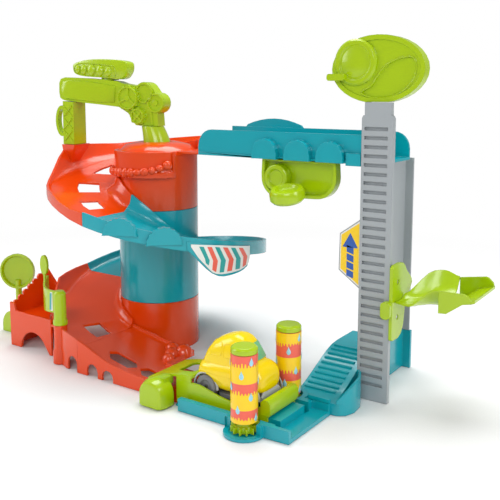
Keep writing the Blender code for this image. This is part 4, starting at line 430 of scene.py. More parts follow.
# %% The chevron sticker under the teal road
form = bmesh.new()
left, right = STICKER_SPAN
columns = [left + (right - left) * k / 36 for k in range(37)]
sheet(form, [[(a, read_table(edge, a)) for a in columns] for edge in (STICKER_LOW, STICKER_TOP)],
      on_apron, *SHEET)
place_piece("chevron_sticker", form, "garage", "white", white_label)
for word, finish, first in (("teal", teal_label, 0), ("coral", coral_label, 1)):
    form = bmesh.new()
    for chevron in CHEVRONS[first::2]:
        corner = [(chevron[k], chevron[k + 1]) for k in range(0, 12, 2)]
        rows = [(corner[0], corner[1]), (corner[5], corner[2]), (corner[4], corner[3])]
        grid = [[(a + (c - a) * s, b + (d - b) * s) for s in (0.0, 0.5, 1.0)]
                for (a, b), (c, d) in rows]
        sheet(form, grid, on_apron, *PRINT)
    place_piece("chevrons_" + word, form, "garage", "white", finish)
print("chevrons:", len(CHEVRONS))

# %% Slanted stripes along the gate
GATE_TURN, GATE_SEAT, GATE_R, GATE_FACE = 252.3, 0.047, 0.008, 0.0014
GATE_LENGTH, GATE_HEADING, GATE_BEND, GATE_STEPS = 0.058, 178.0, 66.0, 40
# The stripes along the gate and across it, as shares of its length and height.
STRIPE_START, STRIPE_PITCH, STRIPE_WIDTH, STRIPE_SLANT = 0.085, 0.118, 0.066, 0.030
STRIPE_ROWS = (0.12, 0.5, 0.88)
post = Vector((cos(radians(GATE_TURN)), sin(radians(GATE_TURN)))) * DECK_R
spine = [post + Vector((-GATE_R - 0.0002, 0.0010))]
headings = [radians(GATE_HEADING - GATE_BEND * k / GATE_STEPS)
            for k in range(GATE_STEPS + 1)]
for heading in headings[:-1]:
    step = Vector((cos(heading), sin(heading))) * GATE_LENGTH / GATE_STEPS
    spine.append(spine[-1] + step)


def on_gate(along, share, lift):
    """A point on the gate's outer face: share runs from its lower to its upper edge."""
    k = min(int(along * GATE_STEPS), GATE_STEPS - 1)
    spot = spine[k].lerp(spine[k + 1], along * GATE_STEPS - k)
    side = Vector((-sin(headings[k]), cos(headings[k]))) * (GATE_FACE + lift)
    low = GATE_SEAT + 0.0125 - 0.0065 * along
    high = GATE_SEAT + 0.0395 + 0.0060 * along ** 2 - 0.002 * sin(pi * along)
    return spot.x + side.x, spot.y + side.y, low + (high - low) * share


form = bmesh.new()
sheet(form, [[(0.07 + 0.86 * k / 30, share) for k in range(31)] for share in (0.08, 0.5, 0.92)],
      on_gate, *GATE_SHEET)
place_piece("gate_sticker", form, "gate", "white", white_label)
for word, finish, stripes in (("teal", teal_label, (0, 2, 4)), ("coral", coral_label, (1, 3))):
    form = bmesh.new()
    for k in stripes:
        start = STRIPE_START + STRIPE_PITCH * k
        grid = [[(start + STRIPE_SLANT * (0.88 - s) / 0.76 + STRIPE_WIDTH * c / 4, s)
                 for c in range(5)] for s in STRIPE_ROWS]
        sheet(form, grid, on_gate, *GATE_PRINT)
    place_piece("gate_stripes_" + word, form, "gate", "white", finish)
print("gate dressed")

# %% The arrow panel beside the lift
PANEL_Y, ARROW = -0.0226, (0.0005, 0.0006)


def on_panel(x, z, lift):
    """A point on the arrow panel's face."""
    return x, PANEL_Y - lift, z


panel_print = (
    ("panel_edge", "grey", grey_plastic, 0.00005,
     [[(0.2706, 0.1346), (0.2951, 0.1172)], [(0.2716, 0.1739), (0.2951, 0.1908)]]),
    ("panel_ground", "white", yellow_label, 0.00035,
     [[(0.2729, 0.1362), (0.2941, 0.1211)], [(0.2736, 0.1726), (0.2941, 0.1868)]]),
    ("panel_line", "white", white_label, 0.00020,
     [[(0.2718, 0.1354), (0.2946, 0.1192)], [(0.2726, 0.1733), (0.2946, 0.1887)]]),
)
for name, slot, finish, lift, grid in panel_print:
    form = bmesh.new()
    sheet(form, grid, on_panel, lift, lift + 0.00012)
    place_piece(name, form, "garage", slot, finish)
form = bmesh.new()
arrow_head = [[(0.2750, 0.1600), (0.2930, 0.1600)], [(0.2838, 0.1752), (0.2842, 0.1752)]]
sheet(form, arrow_head, on_panel, *ARROW)
for low, high in ((0.1285, 0.1355), (0.1370, 0.1440), (0.1455, 0.1525), (0.1540, 0.1612)):
    sheet(form, [[(0.2800, low + 0.0012), (0.2880, low - 0.0012)],
                 [(0.2800, high + 0.0012), (0.2880, high - 0.0012)]], on_panel, *ARROW)
place_piece("panel_arrow", form, "garage", "white", blue_label)
print("arrow panel printed")

# %% [markdown]
# ## The wash rollers
# Each drum wears a printed sleeve: coral and yellow bands, and the lower colour of every
# second joint runs up into the band above in short uneven fingers, like suds that drip. The
# fingers have random lengths from a fixed seed.

# %% Bands with dripping fingers
LANE_Y, DRUM_R, ROLLER_X, ROLLER_OFFSET, FINGERS = -0.122, 0.013, 0.2455, 0.040, 26
FINGER_TURNS = (0.0, 0.16, 0.52, 0.68)
SLEEVE_IN, SLEEVE_OUT = DRUM_R + 0.00006, DRUM_R + 0.00016
draw = random.Random(7)


def fingers(level, reach):
    """Heights round the drum: a level edge, or one with fingers of uneven length."""
    heights = []
    for k in range(FINGERS):
        tip = level + reach * (0.35 + 0.65 * draw.random())
        heights += [level, tip if reach else level, tip if reach else level, level]
    return heights


def band(form, centre, lows, highs):
    """A closed thin sleeve between two uneven edges."""
    rings = []
    for k, (low, high) in enumerate(zip(lows, highs)):
        turn = 2 * pi * (k // 4 + FINGER_TURNS[k % 4]) / FINGERS
        x, y = cos(turn), sin(turn)
        rings.append([(centre[0] + x * r, centre[1] + y * r, z) for r, z in
                      ((SLEEVE_IN, low), (SLEEVE_OUT, low), (SLEEVE_OUT, high), (SLEEVE_IN, high))])
    skin_rings(form, rings, closed=True)


# Each band: its lower edge, its upper edge, and how far the fingers of each edge reach.
ROLLER_BANDS = {
    "front": ((0.0532, 0.0690, 0.0, 0.0048), (0.0275, 0.0425, 0.0, 0.0042),
              (0.0142, 0.0180, 0.0, 0.003)),
    "rear": ((0.0695, 0.0798, -0.0046, 0.0), (0.0415, 0.0545, -0.0042, 0.0),
             (0.0195, 0.0300, -0.0036, 0.0)),
}
roller_at = {"front": (ROLLER_X, LANE_Y - ROLLER_OFFSET),
             "rear": (ROLLER_X, LANE_Y + ROLLER_OFFSET)}
for which, spot in roller_at.items():
    form = bmesh.new()
    for low, high, low_reach, high_reach in ROLLER_BANDS[which]:
        lows = [low - h + low for h in fingers(low, -low_reach)]
        band(form, spot, lows, fingers(high, high_reach))
    place_piece("roller_bands_" + which, form, "roller_" + which, "coral", yellow_label)
print("bands made")

# %% [markdown]
# The drops on the sleeves are scattered by a Geometry Nodes tree. It walks up the drum in a
# spiral of equal turns, so that no two drops meet, nudges each one by a seeded random step,
# and turns each to face outwards.

# %% Growing copies on points
def settle(piece):
    """Keeps what a piece's modifiers make of it as its plain mesh."""
    graph = bpy.context.evaluated_depsgraph_get()
    made = bpy.data.meshes.new_from_object(piece.evaluated_get(graph))
    piece.modifiers.clear()
    old, piece.data = piece.data, made
    bpy.data.meshes.remove(old)
    made.name = piece.name


def index_points(tree, given):
    """A point for each copy, and the field of their numbers."""
    points = add_node(tree, "GeometryNodePoints", {"Count": given["Count"]}).outputs[0]
    return points, add_node(tree, "GeometryNodeInputIndex").outputs[0]


def on_circle(tree, given, turn, height):
    """The place on a circle about the upright axis, at a turn and a height."""
    x = worked(tree, "MULTIPLY", worked(tree, "COSINE", turn), given["Radius"])
    y = worked(tree, "MULTIPLY", worked(tree, "SINE", turn), given["Radius"])
    return add_node(tree, "ShaderNodeCombineXYZ", {"X": x, "Y": y, "Z": height}).outputs[0]


def end_with_copies(tree, given, points, place, turn, instance, scale=(1.0, 1.0, 1.0)):
    """Ends a tree with one dressed copy on each point, turned to face outwards."""
    moved = add_node(tree, "GeometryNodeSetPosition", {"Geometry": points, "Position": place})
    facing = add_node(tree, "ShaderNodeCombineXYZ", {"Z": turn})
    copies = add_node(tree, "GeometryNodeInstanceOnPoints",
                      {"Points": moved.outputs[0], "Instance": instance,
                       "Rotation": facing.outputs[0], "Scale": scale})
    real = add_node(tree, "GeometryNodeRealizeInstances", {0: copies.outputs[0]})
    dressed = add_node(tree, "GeometryNodeSetMaterial",
                       {"Geometry": real.outputs[0], "Material": given["Finish"]})
    add_node(tree, "NodeGroupOutput", {0: dressed.outputs[0]})


def grown(name, tree, sockets, values, body, slot):
    """Runs a tree once and keeps its result as a plain mesh on a body."""
    piece = linked(name, bpy.data.meshes.new(name))
    modifier = piece.modifiers.new("grow", "NODES")
    modifier.node_group = tree
    for key, value in values.items():
        modifier[sockets[key]] = value
    settle(piece)
    piece.data.materials.clear()
    piece.data.shade_smooth()
    piece.data.set_sharp_from_angle(angle=radians(40.0))
    return carried(piece, body, slot, values["Finish"])


print("growing helpers ready")

# %% A tree that scatters drops round a drum
GOLDEN_TURN, NUDGE = 2.39996, 0.25


def drop_tree():
    """Geometry Nodes: places copies of one drop round an upright drum."""
    tree, sockets, given = node_group(
        "scatter_drops", "GeometryNodeTree",
        {"Drop": "Object", "Finish": "Material", "Centre": (0.0, 0.0, 0.0), "Radius": 0.013,
         "Low": 0.02, "High": 0.07, "Count": 14, "Seed": 3}, {"Geometry": "Geometry"})
    points, index = index_points(tree, given)
    nudge = add_node(tree, "FunctionNodeRandomValue",
                     {2: -NUDGE, 3: NUDGE, "Seed": given["Seed"]}, data_type="FLOAT")
    turn = worked(tree, "MULTIPLY_ADD", index, GOLDEN_TURN, nudge.outputs[1])
    share = worked(tree, "DIVIDE", worked(tree, "ADD", index, 0.5), given["Count"])
    span = worked(tree, "SUBTRACT", given["High"], given["Low"])
    height = worked(tree, "MULTIPLY_ADD", share, span, given["Low"])
    place = add_node(tree, "ShaderNodeVectorMath",
                     {0: on_circle(tree, given, turn, height), 1: given["Centre"]}, operation="ADD")
    source = add_node(tree, "GeometryNodeObjectInfo", {"Object": given["Drop"]})
    end_with_copies(tree, given, points, place.outputs[0], turn, source.outputs["Geometry"])
    return tree, sockets


DROP = 1.6
DROP_OUTLINE = (
    (0.0, 0.0029), (0.0006, 0.0012), (0.0012, 0.0001), (0.0014, -0.0008), (0.0012, -0.0017),
    (0.0006, -0.0024), (0.0, -0.0026), (-0.0006, -0.0024), (-0.0012, -0.0017), (-0.0014, -0.0008),
    (-0.0012, 0.0001), (-0.0006, 0.0012),
)
form = bmesh.new()
rings = []
for share, lift in ((1.0, 0.0), (0.96, 0.00012), (0.55, 0.00034), (0.15, 0.00042)):
    size = share * DROP
    rings.append([(lift - 0.5 * (y * size) ** 2 / DRUM_R, y * size, z * size)
                  for y, z in DROP_OUTLINE])
skin_rings(form, rings)
bmesh.ops.recalc_face_normals(form, faces=form.faces)
one_drop = mesh_object("one_drop", form)
scatter, scatter_sockets = drop_tree()
for which, seed in (("front", 5), ("rear", 11)):
    values = {"Drop": one_drop, "Finish": drop_label, "Count": 14, "Seed": seed,
              "Centre": (*roller_at[which], 0.0), "Radius": DRUM_R + 0.00022,
              "Low": 0.0175, "High": 0.0765}
    grown("roller_drops_" + which, scatter, scatter_sockets, values, "roller_" + which, "coral")
bpy.data.objects.remove(one_drop)
print("drops scattered")

# %% [markdown]
# ## The toy car
# The car is a soft pebble of a body: every cross-section is a squared oval. The cabin is a
# second loft of the same kind that sits in the body, and since its surface has a formula, the
# windscreen and the beads round the side windows are laid exactly on it.

# %% Squared ovals along the car
CAR_X, CAR_FLOOR, WHEELBASE, WHEEL_R = 0.210, 0.013, 0.050, 0.0125
AXLE_Z = CAR_FLOOR + WHEEL_R + 0.0003
AXLES_X = (CAR_X - WHEELBASE / 2, CAR_X + WHEELBASE / 2)
SQUARE, CABIN_Z, WELL_GAP = 3.0, 0.0440, 0.0014
# Each body ring: place along the car, half width, lowest and highest point.
BODY_RINGS = (
    (0.1724, 0.0140, 0.0290, 0.0450), (0.1732, 0.0175, 0.0262, 0.0485),
    (0.1755, 0.0203, 0.0240, 0.0515), (0.1810, 0.0218, 0.0228, 0.0540),
    (0.1930, 0.0222, 0.0226, 0.0552), (0.2080, 0.0222, 0.0226, 0.0560),
    (0.2220, 0.0222, 0.0226, 0.0572), (0.2320, 0.0222, 0.0228, 0.0578),
    (0.2390, 0.0218, 0.0232, 0.0574), (0.2440, 0.0208, 0.0250, 0.0554),
    (0.2475, 0.0190, 0.0285, 0.0516), (0.2496, 0.0160, 0.0310, 0.0474),
    (0.2504, 0.0115, 0.0335, 0.0438),
)
# Each cabin ring: place along the car, half width, highest point.
CABIN_RINGS = (
    (0.1765, 0.0150, 0.0510), (0.1785, 0.0165, 0.0580), (0.1815, 0.0175, 0.0650),
    (0.1865, 0.0182, 0.0715), (0.1930, 0.0186, 0.0762), (0.2010, 0.0188, 0.0798),
    (0.2090, 0.0189, 0.0818), (0.2160, 0.0188, 0.0822), (0.2215, 0.0186, 0.0805),
    (0.2260, 0.0183, 0.0765), (0.2300, 0.0178, 0.0705), (0.2335, 0.0172, 0.0635),
    (0.2360, 0.0166, 0.0575), (0.2375, 0.0160, 0.0520),
)
WINDSCREEN_FROM = 7


def around(steps):
    """Equal turns of a full circle."""
    return [2 * pi * k / steps for k in range(steps)]


def squared(turn):
    """Unit point on a squared oval."""
    c, s = cos(turn), sin(turn)
    return copysign(abs(c) ** (2 / SQUARE), c), copysign(abs(s) ** (2 / SQUARE), s)


form = bmesh.new()
rings = []
spots = [squared(t) for t in around(40)]
for x, half, low, high in BODY_RINGS:
    mid, tall = (low + high) / 2, (high - low) / 2
    rings.append([(x, LANE_Y + half * a, mid + tall * b) for a, b in spots])
skin_rings(form, rings)
shell = place_piece("car_shell", form, "car", "yellow", stands_for=("car_body",), smooth=50)
print("shell rings:", len(BODY_RINGS))


# %% Wheel arches and the cabin
def turned(form, profile, centre, steps=48):
    """A closed body turned about Y from (radius, place) pairs; a zero radius closes an end."""
    rings = []
    for radius, along in profile:
        turns = around(steps)[:1 if radius == 0 else steps]
        rings.append([form.verts.new(Vector(centre) + Vector((radius * cos(t), along,
                                                              radius * sin(t))))
                      for t in turns])
    for one, other in zip(rings, rings[1:]):
        for k in range(steps):
            n = (k + 1) % steps
            face = [ring[j % len(ring)] for ring, j in ((one, k), (one, n), (other, n), (other, k))]
            face = list(dict.fromkeys(face))
            if len(face) > 2:
                form.faces.new(face)


def take_out(piece, cutters):
    """Cuts other objects out of a piece and removes them."""
    for cutter in cutters:
        cut = piece.modifiers.new("cut", "BOOLEAN")
        cut.operation, cut.solver, cut.object = "DIFFERENCE", "EXACT", cutter
    settle(piece)
    for cutter in cutters:
        mesh = cutter.data
        bpy.data.objects.remove(cutter)
        bpy.data.meshes.remove(mesh)


wells = []
well_r = WHEEL_R + WELL_GAP
for x in AXLES_X:
    form = bmesh.new()
    turned(form, ((0, -0.03), (well_r, -0.03), (well_r, 0.03), (0, 0.03)), (x, LANE_Y, AXLE_Z), 40)
    bmesh.ops.recalc_face_normals(form, faces=form.faces)
    wells.append(mesh_object("well", form))
take_out(shell, wells)

form = bmesh.new()
spots = [squared(pi * k / 28) for k in range(29)]
skin_rings(form, [[(x, LANE_Y + half * a, CABIN_Z + (high - CABIN_Z) * b) for a, b in spots]
                  for x, half, high in CABIN_RINGS])
place_piece("car_cabin", form, "car", "yellow", smooth=50)
print("cabin rings:", len(CABIN_RINGS))


# %% Windscreen and window beads
def cabin_front(y, z, lift):
    """A point on the cabin's front slope at a width and a height."""
    share = (1 - min(abs(y) / 0.0180, 0.98) ** SQUARE) ** (1 / SQUARE)
    top = CABIN_Z + (z - CABIN_Z) / share
    slope = [(h, x) for x, _, h in reversed(CABIN_RINGS[WINDSCREEN_FROM:])]
    return read_table(slope, top) + lift, LANE_Y + y, z


def cabin_side(x, z, side):
    """A point on the cabin's side at a length and a height."""
    half = read_table([(a, b) for a, b, _ in CABIN_RINGS], x)
    high = read_table([(a, c) for a, _, c in CABIN_RINGS], x)
    share = min((z - CABIN_Z) / (high - CABIN_Z), 0.97)
    return Vector((x, LANE_Y + side * (half * (1 - share ** SQUARE) ** (1 / SQUARE)), z))


def bead(form, path, radius, closed=True):
    """A round bead along a path of points."""
    rings = []
    count = len(path)
    for k, spot in enumerate(path):
        ahead = path[(k + 1) % count] if closed or k < count - 1 else spot
        behind = path[k - 1] if closed or k else spot
        along = (Vector(ahead) - Vector(behind)).normalized()
        side = along.cross(Vector((0.3, 0.2, 0.9))).normalized()
        lift = along.cross(side)
        rings.append([Vector(spot) + (side * cos(t) + lift * sin(t)) * radius
                      for t in around(6)])
    skin_rings(form, rings, closed=closed)


SCREEN_LOW, SCREEN_HIGH, SCREEN_HALF, SCREEN_TAPER = 0.0583, 0.0738, 0.0152, 0.0032
form = bmesh.new()
rows = []
for j in range(9):
    z = SCREEN_LOW + (SCREEN_HIGH - SCREEN_LOW) * j / 8
    half = SCREEN_HALF - SCREEN_TAPER * (j / 8) ** 1.5
    rows.append([(-half + 2 * half * k / 12, z) for k in range(13)])
sheet(form, rows, cabin_front, 0.0002, 0.0007)
place_piece("car_windscreen", form, "car", "yellow", glass_label)

WINDOWS = ((0.1850, 0.2020, 0.0030, 0.0004), (0.2045, 0.2240, 0.0004, -0.0044))
WINDOW_LOW, WINDOW_HIGH, WINDOW_R, WAIST_Z = 0.0600, 0.0735, 0.0028, 0.0415
form = bmesh.new()
for side in (-1, 1):
    for left, right, lean_left, lean_right in WINDOWS:
        r = WINDOW_R
        spots = []
        for a, b, start in ((left + r, WINDOW_LOW + r, 180), (right - r, WINDOW_LOW + r, 270),
                            (right + lean_right - r, WINDOW_HIGH - r, 0),
                            (left + lean_left + r, WINDOW_HIGH - r, 90)):
            spots += [(a + r * cos(radians(start + 18 * q)),
                       b + r * sin(radians(start + 18 * q))) for q in range(6)]
        bead(form, [cabin_side(x, z, side) for x, z in spots], 0.00045)
    edge = [Vector((x, LANE_Y + side * (half - 0.0004), WAIST_Z))
            for x, half, _, _ in BODY_RINGS[2:-2]]
    bead(form, edge, 0.0005, closed=False)
place_piece("car_window_beads", form, "car", "yellow")
print("windows:", 2 * len(WINDOWS))

# %% Wheel lips and front bumper
LIP = ((0.0140, 0.0200), (0.0140, 0.0219), (0.0150, 0.0219), (0.0158, 0.0208), (0.0156, 0.0198))
form = bmesh.new()
for side in (-1, 1):
    for x in AXLES_X:
        rings = []
        for k in range(21):
            t = radians(-2 + 184 * k / 20)
            rings.append([(x + r * cos(t), LANE_Y + side * y, AXLE_Z + r * sin(t))
                          for r, y in LIP])
        skin_rings(form, rings)
place_piece("car_wheel_lips", form, "car", "tyre_grey", bumper_plastic)

BUMPER_HALF, BUMPER_Z, BUMPER_TALL = 0.0168, 0.0262, 0.0062
BUMPER_FRONT, BUMPER_BACK, BUMPER_TIP_BACK = 0.2507, 0.2440, 0.2479
form = bmesh.new()
rings = []
spots = [squared(t) for t in around(16)]
for k in range(13):
    y = -BUMPER_HALF + 2 * BUMPER_HALF * k / 12
    tall = BUMPER_TALL * min(1.0, (1.02 - abs(y) / BUMPER_HALF) * 3.2) ** 0.5
    inner = BUMPER_TIP_BACK if abs(y) > 0.0125 else BUMPER_BACK
    mid, thick = (inner + BUMPER_FRONT) / 2, (BUMPER_FRONT - inner) / 2
    rings.append([(mid + thick * a, LANE_Y + y, BUMPER_Z + tall * b) for a, b in spots])
skin_rings(form, rings)
place_piece("car_front_bumper", form, "car", "tyre_grey", bumper_plastic,
            stands_for=("car_bumper",), smooth=50)
print("car trimmed")

# %% [markdown]
# ## The crane's relief
# The arch is flat, with gears moulded on its face. They don't turn: each one is a toothed
# disc with a raised ring, a hub and spokes. The boom has a raised panel, and the lamp bar at
# its end has rounded ends and five oval lenses in a shallow field with a lip.

# %% Gear faces and the boom's panel
CRANE_TURN, CRANE_TOP, CRANE_FACE, GEAR_FACE, LAMP_SEAT = 190.0, 0.2783, 0.0080, 0.0118, 0.3363
# Relief stands this far out of a face, and starts this far below it.
RELIEF, SUNK = 0.0018, 0.0002
outward = Vector((cos(radians(CRANE_TURN)), sin(radians(CRANE_TURN)), 0.0))
across = Vector((-outward.y, outward.x, 0.0))


def on_crane(along, height, depth):
    """A point of the arch: along its length, above its foot, out of its middle plane."""
    spot = outward * along + across * depth
    return spot.x, spot.y, CRANE_TOP + height


def crane_ring(form, centre, outer, inner, low, high):
    """A raised ring with sloping flanks on the arch's face."""
    rings = []
    for turn in around(40):
        c, s = cos(turn), sin(turn)
        rings.append([on_crane(centre[0] + c * r, centre[1] + s * r, t) for r, t in
                      ((outer, low), (outer - 0.0004, high), (inner + 0.0004, high), (inner, low))])
    skin_rings(form, rings, closed=True)


def slab(form, outline, to_space, low, high):
    """An outline with a thickness; to_space turns (a, b, height) into a point."""
    skin_rings(form, [[to_space(a, b, t) for a, b in outline] for t in (low, high)])


def crane_spoke(form, centre, turn, start, end, half, low, high):
    """A straight raised spoke from a hub to a ring."""
    c, s = cos(radians(turn)), sin(radians(turn))
    box = [(start, -half), (end, -half * 0.8), (end, half * 0.8), (start, half)]
    slab(form, [(centre[0] + c * a - s * b, centre[1] + s * a + c * b) for a, b in box],
         on_crane, low, high)


def crane_disc(form, centre, radius, low, high):
    """A round boss with a sloping flank on the arch's face."""
    rings = [[on_crane(centre[0] + r * cos(turn), centre[1] + r * sin(turn), t)
              for turn in around(28)] for r, t in ((radius, low), (radius - 0.0005, high))]
    skin_rings(form, rings)


# Each gear: centre, ring radius, hub radius, and the turns of its spokes.
GEARS = (((0.0363, 0.0348), 0.0146, 0.0040, (95, 215, 335)),
         ((0.0220, 0.0120), 0.0096, 0.0028, (45, 135, 225, 315)))
BOSS, HUMP = (-0.0027, 0.0288), (0.0139, 0.0411)
BOOM_PANEL = (
    (0.0560, 0.0500), (0.0580, 0.0290), (0.0830, 0.0290), (0.1100, 0.0312), (0.1330, 0.0334),
    (0.1400, 0.0365), (0.1420, 0.0430), (0.1412, 0.0520), (0.1375, 0.0563), (0.1300, 0.0575),
    (0.1000, 0.0560), (0.0760, 0.0530),
)
BOOM_MIDDLE = (0.100, 0.0440)
form = bmesh.new()
low, high = GEAR_FACE - SUNK, GEAR_FACE + 0.0016
for centre, outer, hub, turns in GEARS:
    crane_ring(form, centre, outer, outer - 0.0024, low, high)
    crane_disc(form, centre, hub, low, high + 0.0004)
    for turn in turns:
        crane_spoke(form, centre, turn, hub * 0.7, outer - 0.0020, 0.0015, low, high - 0.0004)
low = CRANE_FACE - SUNK
crane_ring(form, BOSS, 0.0124, 0.0094, low, CRANE_FACE + RELIEF)
crane_disc(form, BOSS, 0.0040, low, CRANE_FACE + 0.0012)
crane_ring(form, HUMP, 0.0132, 0.0102, low, CRANE_FACE + RELIEF)
rings = []
for share, lift in ((1.0, -SUNK), (0.995, 0.0006), (0.975, 0.0013)):
    rings.append([on_crane(BOOM_MIDDLE[0] + (a - BOOM_MIDDLE[0]) * share,
                           BOOM_MIDDLE[1] + (b - BOOM_MIDDLE[1]) * (share * 2 - 1),
                           CRANE_FACE + lift) for a, b in BOOM_PANEL])
skin_rings(form, rings)
slab(form, [(0.0010, 0.0010), (0.0035, 0.0010), (0.0060, 0.0200), (0.0030, 0.0200)],
     on_crane, low, CRANE_FACE + 0.0010)
place_piece("crane_relief", form, "garage", "green")
print("crane relief made")


# %% The lamp bar
def round_path(points, steps=6):
    """A closed smooth path through points."""
    path, count = [], len(points)
    for k in range(count):
        p0, p1, p2, p3 = (Vector(points[(k + j - 1) % count]) for j in range(4))
        for j in range(steps):
            t = j / steps
            path.append(0.5 * ((2 * p1) + (p2 - p0) * t + (2 * p0 - 5 * p1 + 4 * p2 - p3) * t * t
                               + (3 * p1 - p0 - 3 * p2 + p3) * t * t * t))
    return path


def on_lamp(along, height, depth):
    """A point of the lamp bar, measured above the boom's seat."""
    return on_crane(along, height + LAMP_SEAT - CRANE_TOP, depth)


LAMP_HALF, LAMP_ROUND = 0.009, 0.014
LAMP_MIDDLE = Vector((0.080, 0.0140))
NECK_AT, NECK_LONG, NECK_WIDE = 0.070, 0.0135, 0.0062
LAMP_LAYERS = (
    (0.80, -1.0), (0.93, -0.97), (0.985, -0.84), (1.0, -0.6), (1.0, 0.6), (0.985, 0.84),
    (0.95, 0.96), (0.88, 1.0),
)
BAR_OUTLINE = (
    (0.0500, 0.0004), (0.0780, 0.0030), (0.1080, 0.0054), (0.1190, 0.0085), (0.1216, 0.0150),
    (0.1192, 0.0212), (0.0976, 0.0258), (0.0650, 0.0256), (0.0420, 0.0228), (0.0372, 0.0170),
    (0.0400, 0.0070),
)
LIP_OUTLINE = (
    (0.0580, 0.0030), (0.0800, 0.0036), (0.1030, 0.0052), (0.1150, 0.0078), (0.1192, 0.0130),
    (0.1150, 0.0192), (0.1030, 0.0212), (0.0800, 0.0196), (0.0600, 0.0170), (0.0558, 0.0095),
)
# Each lens: place along the bar, height, half width, half height.
LENSES = (
    (0.1132, 0.0134, 0.0041, 0.0055), (0.1038, 0.0130, 0.0046, 0.0066),
    (0.0920, 0.0124, 0.0060, 0.0074), (0.0789, 0.0112, 0.0058, 0.0072),
    (0.0662, 0.0100, 0.0052, 0.0062),
)
LENS_DOME = ((1.0, -0.0003), (0.97, 0.0009), (0.80, 0.0020), (0.52, 0.0028), (0.2, 0.0031))
form = bmesh.new()
rings = []
for share, depth in LAMP_LAYERS:
    ring = []
    for spot in round_path(BAR_OUTLINE):
        away = spot - LAMP_MIDDLE
        reach = max(away.length - (1.0 - share) * LAMP_ROUND, away.length * share)
        place = LAMP_MIDDLE + away.normalized() * reach
        ring.append(on_lamp(*place, depth * LAMP_HALF))
    rings.append(ring)
skin_rings(form, rings)
skin_rings(form, [[on_lamp(NECK_AT + NECK_LONG * cos(t) * wide, height,
                           NECK_WIDE * sin(t) * wide) for t in around(24)]
                  for height, wide in ((-0.0004, 1.0), (0.0012, 0.92), (0.0030, 0.92))])
bead(form, [on_lamp(*spot, LAMP_HALF + 0.0001) for spot in round_path(LIP_OUTLINE)], 0.0008)
for along, height, wide, tall in LENSES:
    skin_rings(form, [[on_lamp(along + wide * share * cos(t),
                               height + tall * share * sin(t), LAMP_HALF + lift)
                       for t in around(24)] for share, lift in LENS_DOME])
place_piece("lamp_bar_round", form, "garage", "green", stands_for=("lamp_bar",))
print("lamp bar made")

# %% [markdown]
# ## Foam along the tower's panel
# The smooth panel under the crane sits between two raised edges, with a row of foam lumps at
# its foot. A second tree lays the lumps: points along a line are bent round the tower, each
# gets a seeded size, and the line climbs a little at its right-hand end, as in the photograph.

# %% A tree that lays lumps round an arc
def lump_tree():
    """Geometry Nodes: a row of uneven lumps on an arc about the upright axis."""
    tree, sockets, given = node_group(
        "foam_row", "GeometryNodeTree",
        {"Finish": "Material", "Radius": 0.057, "Start": 3.7, "Step": 0.17, "Height": 0.2215,
         "Climb": 0.010, "Lump": 0.0050, "Count": 13, "Seed": 4}, {"Geometry": "Geometry"})
    points, index = index_points(tree, given)
    turn = worked(tree, "MULTIPLY_ADD", index, given["Step"], given["Start"])
    share = worked(tree, "DIVIDE", index, given["Count"])
    rise = worked(tree, "MULTIPLY", worked(tree, "POWER", share, 5.0), given["Climb"])
    place = on_circle(tree, given, turn, worked(tree, "ADD", rise, given["Height"]))
    lump = add_node(tree, "GeometryNodeMeshUVSphere",
                    {"Segments": 20, "Rings": 12, "Radius": given["Lump"]})
    size = add_node(tree, "FunctionNodeRandomValue",
                    {0: (0.55, 0.85, 0.75), 1: (0.75, 1.30, 1.15), "Seed": given["Seed"]},
                    data_type="FLOAT_VECTOR")
    end_with_copies(tree, given, points, place, turn, lump.outputs["Mesh"], size.outputs[0])
    return tree, sockets


EDGE_R = 0.0551
foam, foam_sockets = lump_tree()
grown("panel_foam", foam, foam_sockets,
      {"Finish": orange_plastic, "Radius": 0.0580, "Start": radians(212.0),
       "Step": radians(9.2), "Height": 0.2235, "Climb": 0.0150, "Lump": 0.0050, "Count": 13,
       "Seed": 4}, "garage", "orange")
form = bmesh.new()
for edge in (209.0, 331.0):
    spots = [(EDGE_R * cos(radians(edge)), EDGE_R * sin(radians(edge)), z)
             for z in (0.2235, 0.2320, 0.2400, 0.2478)]
    bead(form, spots, 0.0013, closed=False)
place_piece("panel_edges", form, "garage", "orange")
print("foam laid")

# %% [markdown]
# ## The oval sign
# A plain wave runs from the sign's disc across the oval, and the field below the wave is cut
# deeper. The wave is a plate that fills the rest of the field, with a rounded ridge along it.

# %% The sign's wave
SIGN_X, SIGN_Z, FIELD_Y = 0.309, 0.344, -0.0181
OVAL, DOME_AT = (0.0458, 0.0293), (0.2855, -0.0226, 0.351)
DOME = ((0.0, -0.0019), (0.0060, -0.0016), (0.0120, -0.0007), (0.0165, 0.0004), (0.0, 0.0006))
WAVE_MIDDLE = Vector((0.0118, -0.0124))
DEEP_FIELD = (
    (-0.0135, -0.0205), (-0.0055, -0.0165), (0.0005, -0.0085), (0.0080, 0.0008), (0.0170, 0.0068),
    (0.0270, 0.0100), (0.0362, 0.0098), (0.0393, 0.0020), (0.0376, -0.0082), (0.0312, -0.0172),
    (0.0215, -0.0232), (0.0097, -0.0268), (-0.0050, -0.0272), (-0.0150, -0.0240),
)


def oval_edge(start, ray):
    """Where a ray from inside the oval meets its edge."""
    low, high = 0.0, 0.2
    for _ in range(40):
        far = (low + high) / 2
        spot = start + ray * far
        inside = (spot.x / OVAL[0]) ** 2 + (spot.y / OVAL[1]) ** 2 < 1.0
        low, high = (far, high) if inside else (low, far)
    return start + ray * low


